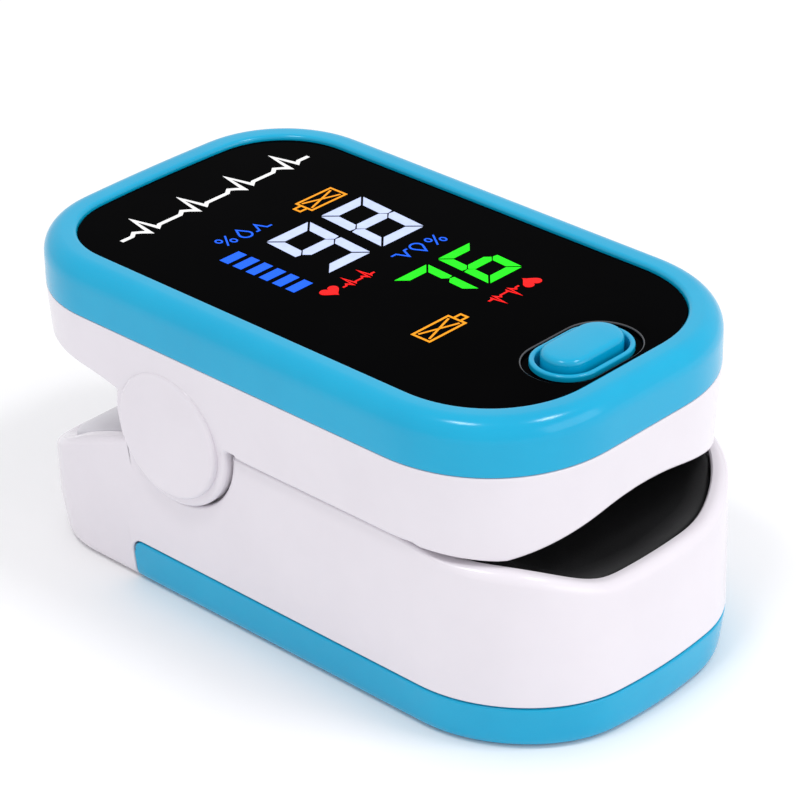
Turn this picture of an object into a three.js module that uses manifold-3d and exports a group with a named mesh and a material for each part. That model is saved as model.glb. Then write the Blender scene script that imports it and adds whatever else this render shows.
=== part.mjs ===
// Fingertip pulse oximeter: two sprung jaws on a cross axle, with a display and a key in the upper jaw
// and two AAA cells in the lower jaw.
// Millimetres. Origin at the bottom centre, +Z up, the finger goes in from the -Y end, X is the width.
import * as THREE from "three";
import { mergeVertices } from "three/addons/utils/BufferGeometryUtils.js";
import Module from "manifold-3d";

const wasm = await Module();
wasm.setup();

// ---- driving dimensions ----
const WALL = 1.6; // casing wall
const SEAM = 0.25; // gap between pieces that meet
const FAR = 60; // longer than anything, for cutting
const CENTRE_SHIFT = 1.0; // moves the hinge's side back, so that the origin is halfway along the whole object

// Outline of the upper jaw, at its widest.
const UPPER = {
  half: 18.0,
  front: 30.0,
  rear: 30.0,
  frontCorner: 13.2,
  rearCorner: 10.4,
  noseBow: 0,
  tailBow: 0.7,
  draft: 0.5,
};
// Outline of the lower jaw; its nose bulges past the upper jaw's.
const LOWER = {
  half: 16.6,
  front: 30.0,
  rear: 30.0,
  frontCorner: 10.8,
  rearCorner: 7.5,
  noseBow: 2.7,
  tailBow: 0.5,
  flare: 0.25,
  tuck: 0.45,
  endTuck: 0.4,
  noseLean: 0.9,
};

const BEZEL_LOW = 26.5; // blue bezel meets the white casing
const BEZEL_TOP = 31.4;
const RIM_WIDTH = 2.96; // bezel's width, seen from above
const WINDOW_TOP = 30.95;
const WINDOW_LOW = 29.95;
const SHELF = { inner: 4.3, low: 28.9, top: 29.7 }; // ledge under the window's edge

const PARTING = { side: 18.8, corner: 18.1, sideEnd: -17, cornerStart: -26 }; // upper jaw's lower edge
const JAW_GAP = 0.4;
const ARCH = { rise: 2.75, half: 13.5 }; // finger opening in the upper casing
const DIP = { low: 14.75, flat: 4.2, half: 16.0 }; // finger opening in the lower casing
// Underside of the upper grip: it rises quickly, then levels off.
const TAB = { front: 15.9, low: 20.3, middle: 20.5, middleLow: 21.2, rear: 31, rearLow: 21.7, skin: 0.4 };
const HINGE_ROOF = 21.4; // casing over the springs
const GRIP = { start: 15.9, top: 14.9, slope: 0.3, curve: 0.011 }; // top of the lower grip

const HINGE = { y: 9.3, z: 18.2 };
const EAR = { radius: 6.9, inner: 15.3, outer: 17.2, notch: 7.15 };
const CAP = { radius: 6.0, pocket: 6.25, outer: 18.0 };
const AXLE = { radius: 1.0, half: 16.9 };
const LUG = { inner: 12.4, outer: 14.7, radius: 2.6 };
const SPRING = { mean: 2.3, wire: 0.35, turns: 4, inner: 8.6, pitch: 0.85, legEnd: 17.2 };

const ROOF = { low: 23.0, top: 24.2 }; // floor of the upper jaw's electronics bay
const BOARD = { low: 24.6, top: 25.6, half: 13.0, front: -19.5, rear: 12.3 };
const KEY = { y: -22.8, length: 8.4, width: 4.4, top: 32.1, flangeLow: 28.1, flangeTop: 28.75 };
const KEY_HOLE = { length: 12.0, width: 7.4 };
const COLLAR = { length: 10.2, width: 6.4, wall: 0.5, edge: 0.2, top: 31.15, low: 29.0 };
const COLLAR_FLANGE = { reach: 0.9, top: 29.7 };

const DIVIDER = { low: 12.1, top: 13.1, rear: 19.0 }; // lower casing's inner floor, over the cells
const BAY = { half: 11.2, wall: 0.8, front: -25.4, rear: 24.6 };
const CELL = { radius: 5.2, x: 5.4, z: 6.55, front: -22.9, length: 44.5, nub: 1.0 };
const COVER = { rear: 16.0, top: 4.3, plate: 1.1, wall: 1.3, corner: 1.2 };
const FINGER_END = 3.3; // rear end of the finger pads
const SENSOR_Y = -9;
const UPPER_SCREW = { x: 11.8, y: 25.0 };
const LOWER_SCREW = { x: 13.45, y: 21.0 };

// ---- materials ----
function paint(color, roughness, metalness = 0) {
  return new THREE.MeshStandardMaterial({ color, roughness, metalness });
}
const MATERIAL = {
  white: paint(0xe9e3ea, 0.35),
  blue: paint(0x2db2dc, 0.3),
  grey: paint(0xcfc9d2, 0.45),
  blackGlass: paint(0x050506, 0.06),
  silicone: paint(0x151515, 0.75),
  clear: paint(0xd8dde0, 0.1),
  board: paint(0x14503a, 0.5),
  chip: paint(0x1a1a1c, 0.55),
  steel: paint(0xb9bcc0, 0.3, 1),
  cell: paint(0x2b2d31, 0.4, 0.3),
  flex: paint(0xc27a2c, 0.45),
  cream: paint(0xf0eee8, 0.5),
};

// ---- solids ----
function solid(geometry) {
  const bare = geometry.clone();
  bare.deleteAttribute("normal");
  bare.deleteAttribute("uv");
  const merged = mergeVertices(bare, 1e-4);
  return new wasm.Manifold(
    new wasm.Mesh({
      numProp: 3,
      vertProperties: merged.attributes.position.array,
      triVerts: new Uint32Array(merged.index.array),
    }),
  );
}

function geometryOf(manifold) {
  const mesh = manifold.getMesh();
  const geometry = new THREE.BufferGeometry();
  geometry.setAttribute("position", new THREE.BufferAttribute(mesh.vertProperties, 3));
  geometry.setIndex(new THREE.BufferAttribute(mesh.triVerts, 1));
  const flat = geometry.toNonIndexed();
  flat.computeVertexNormals();
  return flat;
}

const oximeter = new THREE.Group();
oximeter.position.y = CENTRE_SHIFT;

function part(name, manifold, material) {
  const mesh = new THREE.Mesh(geometryOf(manifold), material);
  mesh.name = name;
  oximeter.add(mesh);
}

function joined(solids) {
  return solids.reduce((sum, next) => sum.add(next));
}

function cut(body, tools) {
  return tools.reduce((left, tool) => left.subtract(tool), body);
}

function box(x0, x1, y0, y1, z0, z1) {
  const geometry = new THREE.BoxGeometry(x1 - x0, y1 - y0, z1 - z0);
  geometry.translate((x0 + x1) / 2, (y0 + y1) / 2, (z0 + z1) / 2);
  return solid(geometry);
}

function cylinderX(radius, x0, x1, y, z, sides = 32) {
  const geometry = new THREE.CylinderGeometry(radius, radius, Math.abs(x1 - x0), sides);
  geometry.rotateZ(Math.PI / 2);
  geometry.translate((x0 + x1) / 2, y, z);
  return solid(geometry);
}

function cylinderZ(radius, x, y, z0, z1, sides = 16) {
  const geometry = new THREE.CylinderGeometry(radius, radius, z1 - z0, sides);
  geometry.rotateX(Math.PI / 2);
  geometry.translate(x, y, (z0 + z1) / 2);
  return solid(geometry);
}

// A prism along X whose section is a list of [y, z].
function prismX(section, x0, x1) {
  const shape = new THREE.Shape(section.map(([y, z]) => new THREE.Vector2(y, z)));
  const geometry = new THREE.ExtrudeGeometry(shape, { depth: x1 - x0, bevelEnabled: false });
  geometry.applyMatrix4(new THREE.Matrix4().set(0, 0, 1, x0, 1, 0, 0, 0, 0, 1, 0, 0, 0, 0, 0, 1));
  return solid(geometry);
}

// A prism along Y whose section is a list of [x, z].
function prismY(section, y0, y1) {
  const shape = new THREE.Shape(section.map(([x, z]) => new THREE.Vector2(x, z)));
  const geometry = new THREE.ExtrudeGeometry(shape, { depth: y1 - y0, bevelEnabled: false });
  geometry.applyMatrix4(new THREE.Matrix4().set(1, 0, 0, 0, 0, 0, -1, y1, 0, 1, 0, 0, 0, 0, 0, 1));
  return solid(geometry);
}

// A closed skin over rings of equal length, with flat ends, or joined end to end as a frame.
function loft(rings, endToEnd = false) {
  const count = rings[0].length;
  const points = rings.flat().flatMap(([x, y, z]) => [x, y, z]);
  const faces = [];
  const bands = endToEnd ? rings.length : rings.length - 1;
  for (let band = 0; band < bands; band++) {
    const here = band * count;
    const next = ((band + 1) % rings.length) * count;
    for (let i = 0; i < count; i++) {
      const j = (i + 1) % count;
      faces.push(here + i, here + j, next + j, here + i, next + j, next + i);
    }
  }
  if (!endToEnd) {
    const last = (rings.length - 1) * count;
    const bottom = points.length / 3;
    points.push(0, 0, rings[0][0][2], 0, 0, rings.at(-1)[0][2]);
    for (let i = 0; i < count; i++) {
      const j = (i + 1) % count;
      faces.push(bottom, j, i, bottom + 1, last + i, last + j);
    }
  }
  return new wasm.Manifold(
    new wasm.Mesh({
      numProp: 3,
      vertProperties: new Float32Array(points),
      triVerts: new Uint32Array(faces),
    }),
  );
}

// ---- outlines ----
const CORNER_STEPS = 7;
const BOW_STEPS = 4;
const CORNER_POWER = 2.12; // a little squarer than a circle

// One rounded outline at a height, drawn in by an inset, anticlockwise from the right side.
function outline(shape, inset, z) {
  const half = shape.half - inset;
  const front = shape.front - inset;
  const rear = shape.rear - inset;
  const ring = [];
  const corner = (signX, signY, radius, from) => {
    const r = Math.max(radius - inset, 0.8);
    const end = signY < 0 ? front : rear;
    for (let k = 0; k <= CORNER_STEPS; k++) {
      const turn = from + (k / CORNER_STEPS) * (Math.PI / 2);
      const along = Math.abs(Math.cos(turn)) ** (2 / CORNER_POWER);
      const across = Math.abs(Math.sin(turn)) ** (2 / CORNER_POWER);
      ring.push([signX * (half - r + r * along), signY * (end - r + r * across), z]);
    }
  };
  const flat = (signY, radius) => {
    const reach = half - Math.max(radius - inset, 0.8);
    const end = signY < 0 ? front : rear;
    for (let k = 1; k < BOW_STEPS; k++) {
      ring.push([signY * reach * (1 - (2 * k) / BOW_STEPS), signY * end, z]);
    }
  };
  corner(1, 1, shape.rearCorner, 0);
  flat(1, shape.rearCorner);
  corner(-1, 1, shape.rearCorner, Math.PI / 2);
  corner(-1, -1, shape.frontCorner, Math.PI);
  flat(-1, shape.frontCorner);
  corner(1, -1, shape.frontCorner, Math.PI * 1.5);
  // The ends bow outwards across the width.
  for (const point of ring) {
    const bow = 1 - (point[0] / half) ** 2;
    const share = Math.abs(point[1]) / (point[1] < 0 ? front : rear);
    point[1] += bow * share * (point[1] < 0 ? -shape.noseBow : shape.tailBow);
  }
  return ring;
}

// The upper jaw narrows a little towards the parting line.
function upperRing(inset, z) {
  const draft = UPPER.draft * THREE.MathUtils.clamp((BEZEL_LOW - z) / (BEZEL_LOW - PARTING.side), 0, 1.2);
  return outline(UPPER, inset + draft, z);
}

// The lower jaw is widest just over the cover, and its nose leans back towards the top.
function lowerRing(inset, z) {
  const up = Math.max(z - COVER.top, 0) / (PARTING.side - COVER.top);
  const down = Math.max(COVER.top - z, 0) / COVER.top;
  const shape = {
    ...LOWER,
    half: LOWER.half + LOWER.flare * up - LOWER.tuck * down,
    front: LOWER.front - LOWER.endTuck * down,
    rear: LOWER.rear - LOWER.endTuck * down,
    noseBow: LOWER.noseBow - LOWER.noseLean * up,
  };
  return outline(shape, inset, z);
}

const upperSolid = (inset, z0, z1) => loft([z0, (z0 + z1) / 2, z1].map((z) => upperRing(inset, z)));
const lowerSolid = (inset, z0, z1) => loft([z0, (z0 + z1) / 2, z1].map((z) => lowerRing(inset, z)));

// Points of a circle's stretch in a [y, z] section, between two angles.
function arc(y, z, radius, from, to, steps) {
  return Array.from({ length: steps + 1 }, (_, k) => {
    const turn = from + ((to - from) * k) / steps;
    return [y + radius * Math.cos(turn), z + radius * Math.sin(turn)];
  });
}

const gripTop = (y) => {
  const past = Math.max(y - GRIP.start, 0);
  return GRIP.top - GRIP.slope * past - GRIP.curve * past ** 2;
};

function steps(from, to, count) {
  return Array.from({ length: count + 1 }, (_, k) => from + ((to - from) * k) / count);
}

// A slot-shaped block along X, on the key's centre, from rings of [inset, z].
function slotBlock(length, width, levels, endToEnd = false) {
  const half = 8;
  const ring = (inset, z) => {
    const r = width / 2 - inset;
    const reach = (length - width) / 2;
    const points = [];
    for (const side of [1, -1]) {
      for (let k = 0; k <= half; k++) {
        const turn = (k / half - 0.5) * Math.PI;
        points.push([side * (reach + r * Math.cos(turn)), side * r * Math.sin(turn), z]);
      }
    }
    return points;
  };
  return loft(levels.map(([inset, z]) => ring(inset, z)), endToEnd).translate(0, KEY.y, 0);
}

// ---- upper jaw ----
function topBezel() {
  const profile = [
    [0, BEZEL_LOW],
    [0, BEZEL_TOP - 2.0],
    [0.35, BEZEL_TOP - 0.85],
    [0.95, BEZEL_TOP - 0.2],
    [1.7, BEZEL_TOP],
    [RIM_WIDTH - 0.25, BEZEL_TOP],
    [RIM_WIDTH, BEZEL_TOP - 0.25],
    [RIM_WIDTH, SHELF.top],
    [SHELF.inner, SHELF.top],
    [SHELF.inner, SHELF.low],
    [WALL, SHELF.low],
    [WALL, BEZEL_LOW],
  ];
  const ring = loft(profile.map(([inset, z]) => upperRing(inset, z)), true);
  const { x, y } = UPPER_SCREW;
  const posts = [-1, 1].map((side) => cylinderZ(1.9, side * x, y, ROOF.top + 0.15, SHELF.low + 0.4));
  const holes = [-1, 1].map((side) => cylinderZ(0.7, side * x, y, ROOF.top - 1, SHELF.low - 0.5, 12));
  const collarRoom = slotBlock(12.6, 8.8, [[0, SHELF.low - 1], [0, WINDOW_LOW]]);
  return cut(joined([ring, ...posts]), [...holes, collarRoom]);
}

function displayWindow() {
  const inset = RIM_WIDTH + SEAM;
  const plate = loft([upperRing(inset, WINDOW_LOW), upperRing(inset, WINDOW_TOP)]);
  const levels = [
    [0, WINDOW_LOW - 1],
    [0, WINDOW_TOP + 1],
  ];
  return plate.subtract(slotBlock(KEY_HOLE.length, KEY_HOLE.width, levels));
}

function buttonCollar() {
  const profile = [
    [-COLLAR_FLANGE.reach, COLLAR.low],
    [-COLLAR_FLANGE.reach, COLLAR_FLANGE.top],
    [0, COLLAR_FLANGE.top],
    [0, COLLAR.top - COLLAR.edge],
    [COLLAR.edge, COLLAR.top],
    [COLLAR.wall - 0.1, COLLAR.top],
    [COLLAR.wall, COLLAR.top - 0.1],
    [COLLAR.wall, COLLAR.low],
  ];
  return slotBlock(COLLAR.length, COLLAR.width, profile, true);
}

function powerButton() {
  const key = slotBlock(KEY.length, KEY.width, [
    [0, KEY.flangeTop - 0.1],
    [0, KEY.top - 0.9],
    [0.2, KEY.top - 0.35],
    [0.6, KEY.top - 0.08],
    [1.2, KEY.top],
  ]);
  return key.add(slotBlock(KEY.length + 1.6, KEY.width + 1.6, [[0, KEY.flangeLow], [0, KEY.flangeTop]]));
}

function displayModule() {
  const body = box(-12.5, 12.5, -15, 16.5, 27.4, 28.6);
  return body.add(box(-11.5, 11.5, -13.5, 15, 28.5, 29.6));
}

function mainBoard() {
  const plate = box(-BOARD.half, BOARD.half, BOARD.front, BOARD.rear, BOARD.low, BOARD.top);
  const tongue = box(-5, 5, -26.5, BOARD.front + 1, BOARD.low, BOARD.top);
  const corners = [-1, 1].map((side) =>
    cylinderZ(2.0, side * BOARD.half, BOARD.front, BOARD.low - 1, BOARD.top + 1),
  );
  return cut(plate.add(tongue), corners);
}

const onBoard = (x0, x1, y0, y1, height) => box(x0, x1, y0, y1, BOARD.top + 0.05, BOARD.top + 0.05 + height);

function tactSwitch() {
  const body = onBoard(-2.2, 2.2, KEY.y - 2.2, KEY.y + 2.2, 1.2);
  return body.add(cylinderZ(1.0, 0, KEY.y, BOARD.top + 1, 27.55));
}

function upperShell() {
  const outer = loft([upperRing(0, 17.6), upperRing(0, 22), upperRing(0, BEZEL_LOW - SEAM)]);
  const below = [
    [-FAR, PARTING.corner],
    [PARTING.cornerStart, PARTING.corner],
    [PARTING.sideEnd, PARTING.side],
    [HINGE.y, PARTING.side],
    [TAB.front, TAB.low],
    [TAB.middle, TAB.middleLow],
    [TAB.rear, TAB.rearLow],
    [FAR, TAB.rearLow],
    [FAR, 0],
    [-FAR, 0],
  ].reverse();
  const archLine = steps(-ARCH.half, ARCH.half, 14).map((x) => [
    x,
    PARTING.corner + ARCH.rise * Math.cos((Math.PI * x) / (2 * ARCH.half)),
  ]);
  const arch = [[ARCH.half, 10], ...archLine.reverse(), [-ARCH.half, 10]];
  const ears = [-1, 1].map((side) =>
    cylinderX(EAR.radius, side * EAR.inner, side * EAR.outer, HINGE.y, HINGE.z, 40),
  );
  const body = cut(outer, [prismX(below, -FAR, FAR), prismY(arch, -FAR, -20)]).add(joined(ears));
  const rearFloor = [
    [4.8, 5],
    [40, 5],
    [40, TAB.rearLow + TAB.skin],
    [TAB.rear, TAB.rearLow + TAB.skin],
    [TAB.middle, TAB.middleLow + TAB.skin],
    [TAB.front, HINGE_ROOF],
    [4.8, HINGE_ROOF],
  ];
  const inside = EAR.inner - SEAM;
  const overPad = box(-FAR, FAR, -FAR, FINGER_END + 0.3, 0, FAR);
  const padPocket = upperSolid(WALL, 10, ROOF.low).intersect(overPad);
  const tools = [
    prismX(rearFloor, -inside, inside).intersect(upperSolid(WALL, 10, 30)),
    padPocket,
    upperSolid(WALL, ROOF.top, 30),
    box(-5.2, 5.2, SENSOR_Y - 4.2, SENSOR_Y + 4.2, ROOF.low - 1, ROOF.top + 1),
    box(-3.6, 3.6, 12.6, 14.6, 20, 26),
  ];
  for (const side of [-1, 1]) {
    tools.push(cylinderX(CAP.pocket, side * EAR.outer, side * FAR, HINGE.y, HINGE.z, 40));
    tools.push(cylinderX(AXLE.radius + 0.08, side * 14, side * (EAR.outer + 1), HINGE.y, HINGE.z, 24));
    tools.push(cylinderZ(0.9, side * UPPER_SCREW.x, UPPER_SCREW.y, 18, 30, 12));
    tools.push(cylinderZ(1.75, side * UPPER_SCREW.x, UPPER_SCREW.y, 18, 23.4));
  }
  return cut(body, tools);
}

function upperFingerPad() {
  const gap = WALL + SEAM;
  const body = loft([upperRing(gap, PARTING.side + 0.1), upperRing(gap, ROOF.low - 0.2)]);
  const channelLine = steps(-1, 1, 16).map((t) => [12.6 * t, 18.2 + 3.4 * Math.sqrt(1 - t * t)]);
  const channel = [[12.6, 10], ...channelLine.reverse(), [-12.6, 10]];
  const rear = box(-FAR, FAR, FINGER_END, FAR, 0, FAR);
  const lens = box(-3.6, 3.6, SENSOR_Y - 3.1, SENSOR_Y + 3.1, 10, FAR);
  return cut(body, [prismY(channel, -FAR, FINGER_END - 1.6), rear, lens]);
}

const lensBlock = (z0, z1) => box(-3.3, 3.3, SENSOR_Y - 2.8, SENSOR_Y + 2.8, z0, z1);
const sensorPlate = (z0, z1) => box(-4.9, 4.9, SENSOR_Y - 3.9, SENSOR_Y + 3.9, z0, z1);

function photodiode() {
  return box(-1.6, 1.6, SENSOR_Y - 1.3, SENSOR_Y + 1.3, DIVIDER.low + 0.9, DIVIDER.low + 1.5);
}

function hingeCap(side) {
  const profile = [
    [0, EAR.outer + 0.1],
    [CAP.radius, EAR.outer + 0.1],
    [CAP.radius, CAP.outer - 0.3],
    [CAP.radius - 0.3, CAP.outer],
    [0, CAP.outer],
  ].map(([radius, along]) => new THREE.Vector2(radius, along));
  const geometry = new THREE.LatheGeometry(profile, 40);
  geometry.rotateZ((-side * Math.PI) / 2);
  geometry.translate(0, HINGE.y, HINGE.z);
  return solid(geometry);
}

// A screw that points up, with a domed head, its head's underside at z.
function screw(x, y, z, length) {
  const profile = [
    [0, -1.0],
    [0.9, -1.0],
    [1.35, -0.5],
    [1.35, 0],
    [0.6, 0],
    [0.6, length - 0.5],
    [0, length],
  ].map(([radius, along]) => new THREE.Vector2(radius, along));
  const geometry = new THREE.LatheGeometry(profile, 12);
  geometry.rotateX(Math.PI / 2);
  geometry.translate(x, y, z);
  return solid(geometry);
}

// ---- lower jaw ----
// Side view of the cover, grown by a gap.
function coverRegion(gap) {
  const top = COVER.top + gap;
  const rear = COVER.rear + gap;
  const radius = COVER.corner + gap;
  const rounded = arc(rear - radius, top - radius, radius, 0, Math.PI / 2, 5);
  return prismX([[-FAR, -1], [rear, -1], ...rounded, [-FAR, top]], -FAR, FAR);
}

function lowerOuter() {
  return loft([
    lowerRing(0.9, 0),
    lowerRing(0.25, 0.3),
    lowerRing(0, 1.0),
    lowerRing(0, COVER.top),
    lowerRing(0, 12),
    lowerRing(0, PARTING.side),
  ]);
}

function batteryCover() {
  const inner = loft([COVER.plate, 3, COVER.top + 1].map((z) => lowerRing(COVER.wall, z)));
  return lowerOuter().intersect(coverRegion(0)).subtract(inner);
}

function lowerShell() {
  const sideTop = PARTING.side - JAW_GAP;
  const cornerTop = PARTING.corner - JAW_GAP;
  const grip = steps(GRIP.start, TAB.rear, 8).map((y) => [y, gripTop(y)]);
  const above = [
    [-FAR, cornerTop],
    [PARTING.cornerStart, cornerTop],
    [PARTING.sideEnd, sideTop],
    [HINGE.y, sideTop],
    [HINGE.y, GRIP.top + 0.6],
    ...grip,
    [FAR, grip.at(-1)[1]],
    [FAR, FAR],
    [-FAR, FAR],
  ];
  const dipLine = steps(-DIP.half, DIP.half, 16).map((x) => {
    const t = THREE.MathUtils.clamp((Math.abs(x) - DIP.flat) / (DIP.half - DIP.flat), 0, 1);
    return [x, DIP.low + ((cornerTop - DIP.low) * (1 - Math.cos(Math.PI * t))) / 2];
  });
  const dip = [...dipLine, [DIP.half, 30], [-DIP.half, 30]];
  const bay = BAY.half + BAY.wall;
  const hollow = lowerSolid(WALL, COVER.plate + 0.2, DIVIDER.low);
  const upperHollow = lowerSolid(WALL, DIVIDER.top, 30);
  const behind = box(-FAR, FAR, DIVIDER.rear, FAR, 0, FAR);
  const behindDivider = lowerSolid(WALL, DIVIDER.low - 1, 30).intersect(behind);
  const body = cut(lowerOuter(), [coverRegion(SEAM), hollow, upperHollow, behindDivider]);
  const clearOfCover = COVER.plate + SEAM;
  const walls = box(-bay, bay, BAY.front - BAY.wall, DIVIDER.rear, clearOfCover, DIVIDER.low + 0.5);
  const bayEnd = BAY.rear + BAY.wall;
  const rearWalls = box(-bay, bay, DIVIDER.rear - 1, bayEnd, clearOfCover, gripTop(bayEnd) - 1.6);
  const posts = [-1, 1].map((side) => cylinderZ(1.8, side * LOWER_SCREW.x, LOWER_SCREW.y, 0.5, 4.9));
  const rails = lowerSolid(WALL, clearOfCover, COVER.top + 2);
  const inside = rails.intersect(joined([walls, rearWalls, ...posts]));
  const bayCut = box(-BAY.half, BAY.half, BAY.front, BAY.rear, COVER.plate + 0.2, DIVIDER.low);
  const tools = [
    prismX(above, -FAR, FAR),
    prismY(dip, -FAR, -22),
    box(-BAY.half, BAY.half, BAY.front, COVER.rear + SEAM, -1, DIVIDER.low),
    bayCut,
    box(-5.2, 5.2, SENSOR_Y - 4.2, SENSOR_Y + 4.2, DIVIDER.low - 1, DIVIDER.top + 1),
  ];
  for (const side of [-1, 1]) {
    tools.push(cylinderX(EAR.notch, side * (EAR.inner - 0.2), side * FAR, HINGE.y, HINGE.z, 40));
    tools.push(cylinderZ(0.8, side * LOWER_SCREW.x, LOWER_SCREW.y, -1, 8, 12));
    tools.push(cylinderZ(1.5, side * LOWER_SCREW.x, LOWER_SCREW.y, -1, 2.2));
  }
  const filled = joined([body, inside, walls, rearWalls].map((piece) => piece.intersect(lowerOuter())));
  return cut(filled, tools);
}

function lowerFrame() {
  const gap = 2.1;
  const thickness = 1.1;
  const low = DIVIDER.top + SEAM;
  const rear = 27.4;
  const top = steps(GRIP.start, rear, 7).map((y) => [y, gripTop(y)]);
  const under = steps(rear, DIVIDER.rear + 0.3, 5).map((y) => [y, gripTop(y) - thickness]);
  const panel = [
    [FINGER_END + 0.4, low],
    [FINGER_END + 0.4, GRIP.top + 0.2],
    [12.5, GRIP.top + 0.2],
    ...top,
    ...under,
    [DIVIDER.rear, low],
  ].reverse();
  const plate = prismX(panel, -FAR, FAR).intersect(lowerSolid(gap, 5, 20));
  const lugLow = GRIP.top - 0.4;
  const lug = [[14.2, lugLow], ...arc(HINGE.y, HINGE.z, LUG.radius, 0, Math.PI, 12), [4.4, lugLow]];
  const lugs = [-1, 1].map((side) =>
    prismX(lug, Math.min(side * LUG.inner, side * LUG.outer), Math.max(side * LUG.inner, side * LUG.outer)),
  );
  const posts = [-1, 1].map((side) => cylinderZ(1.2, side * LOWER_SCREW.x, LOWER_SCREW.y, 5.3, 12.4, 14));
  const tools = [box(-3.6, 3.6, 12.9, 14.1, 14, 20)];
  for (const side of [-1, 1]) {
    tools.push(cylinderX(AXLE.radius + 0.06, side * 10, side * 16, HINGE.y, HINGE.z, 24));
    tools.push(cylinderZ(0.7, side * LOWER_SCREW.x, LOWER_SCREW.y, 4, 11, 12));
    tools.push(cylinderX(EAR.notch, side * (EAR.inner - 0.2), side * FAR, HINGE.y, HINGE.z, 40));
  }
  return cut(joined([plate, ...lugs, ...posts]), tools);
}

function lowerFingerPad() {
  const gap = WALL + SEAM;
  const body = loft([lowerRing(gap, DIVIDER.top + SEAM), lowerRing(gap, PARTING.side)]);
  const topZ = PARTING.corner - JAW_GAP - 0.1;
  const troughLine = steps(-1, 1, 16).map((t) => [12.2 * t, 17.8 - 3.0 * Math.sqrt(1 - t * t)]);
  const trough = [...troughLine, [12.2, 30], [-12.2, 30]];
  const rear = box(-FAR, FAR, FINGER_END, FAR, 0, FAR);
  const lens = box(-3.6, 3.6, SENSOR_Y - 3.1, SENSOR_Y + 3.1, 0, FAR);
  const above = box(-FAR, FAR, -FAR, FAR, topZ, FAR);
  return cut(body, [above, prismY(trough, -FAR, FINGER_END - 1.6), rear, lens]);
}

// ---- hinge ----
class SpringPath extends THREE.Curve {
  constructor(side) {
    super();
    this.side = side;
  }
  // Straight leg to the upper grip, the turns round the axle, then a straight leg to the lower grip.
  getPoint(t) {
    const legShare = 0.12;
    const { mean, turns, inner, pitch, legEnd } = SPRING;
    const at = (share) => {
      const turn = Math.PI / 2 - share * (turns * 2 * Math.PI + Math.PI);
      const x = this.side * (inner + share * turns * pitch);
      return new THREE.Vector3(x, HINGE.y + mean * Math.cos(turn), HINGE.z + mean * Math.sin(turn));
    };
    if (t < legShare) {
      const tip = new THREE.Vector3(this.side * inner, legEnd, HINGE.z + mean + 0.35);
      return tip.lerp(at(0), t / legShare);
    }
    if (t > 1 - legShare) {
      const tip = new THREE.Vector3(this.side * (inner + turns * pitch), legEnd - 1.0, HINGE.z - mean - 0.55);
      return at(1).lerp(tip, (t - 1 + legShare) / legShare);
    }
    return at((t - legShare) / (1 - 2 * legShare));
  }
}

function wireAlong(path, radius, segments) {
  const ring = new THREE.Shape();
  ring.absarc(0, 0, radius, 0, Math.PI * 2);
  const options = { steps: segments, extrudePath: path, curveSegments: 3, bevelEnabled: false };
  return solid(new THREE.ExtrudeGeometry(ring, options));
}

// A flat ribbon of even thickness along [y, z] points.
function ribbon(points, thickness, x0, x1) {
  const sideOf = (sign) =>
    points.map(([y, z], i) => {
      const before = points[Math.max(i - 1, 0)];
      const after = points[Math.min(i + 1, points.length - 1)];
      const length = Math.hypot(after[0] - before[0], after[1] - before[1]);
      const normal = [-(after[1] - before[1]) / length, (after[0] - before[0]) / length];
      return [y + (sign * normal[0] * thickness) / 2, z + (sign * normal[1] * thickness) / 2];
    });
  return prismX([...sideOf(-1), ...sideOf(1).reverse()], x0, x1);
}

function flexCable() {
  const path = new THREE.CatmullRomCurve3(
    [
      [13.5, 14.4],
      [13.5, 16.2],
      [14.6, 18.4],
      [14.0, 20.6],
      [13.5, 22.6],
      [13.5, 24.8],
      [13.2, 26.0],
      [12.5, 26.3],
    ].map(([y, z]) => new THREE.Vector3(0, y, z)),
  );
  return ribbon(path.getPoints(26).map((p) => [p.y, p.z]), 0.25, -3, 3);
}

// ---- cells and contacts ----
function cell(side) {
  const toFront = side < 0 ? 1 : -1; // the left cell's positive nub points to the front
  const body = CELL.length - CELL.nub;
  const profile = [
    [0, 0],
    [CELL.radius - 0.4, 0],
    [CELL.radius, 0.4],
    [CELL.radius, body - 0.5],
    [CELL.radius - 0.5, body],
    [1.9, body],
    [1.9, CELL.length],
    [0, CELL.length],
  ].map(([radius, along]) => new THREE.Vector2(radius, along));
  const geometry = new THREE.LatheGeometry(profile, 24);
  if (toFront > 0) geometry.rotateZ(Math.PI);
  const from = toFront > 0 ? CELL.front + CELL.length : CELL.front;
  geometry.translate(side * CELL.x, from, CELL.z);
  return solid(geometry);
}

function contactPlate(x0, x1, y0, y1) {
  return box(x0, x1, y0, y1, CELL.z - 4.2, CELL.z + 3.2);
}

// A cone-shaped coil spring that presses on a cell's flat end.
function coilContact(x, y, direction, length) {
  class Cone extends THREE.Curve {
    getPoint(t) {
      const turn = t * Math.PI * 6;
      const radius = 3.2 - 1.1 * t;
      const along = y + direction * length * t;
      return new THREE.Vector3(x + radius * Math.cos(turn), along, CELL.z + radius * Math.sin(turn));
    }
  }
  return wireAlong(new Cone(), 0.3, 40);
}

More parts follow.
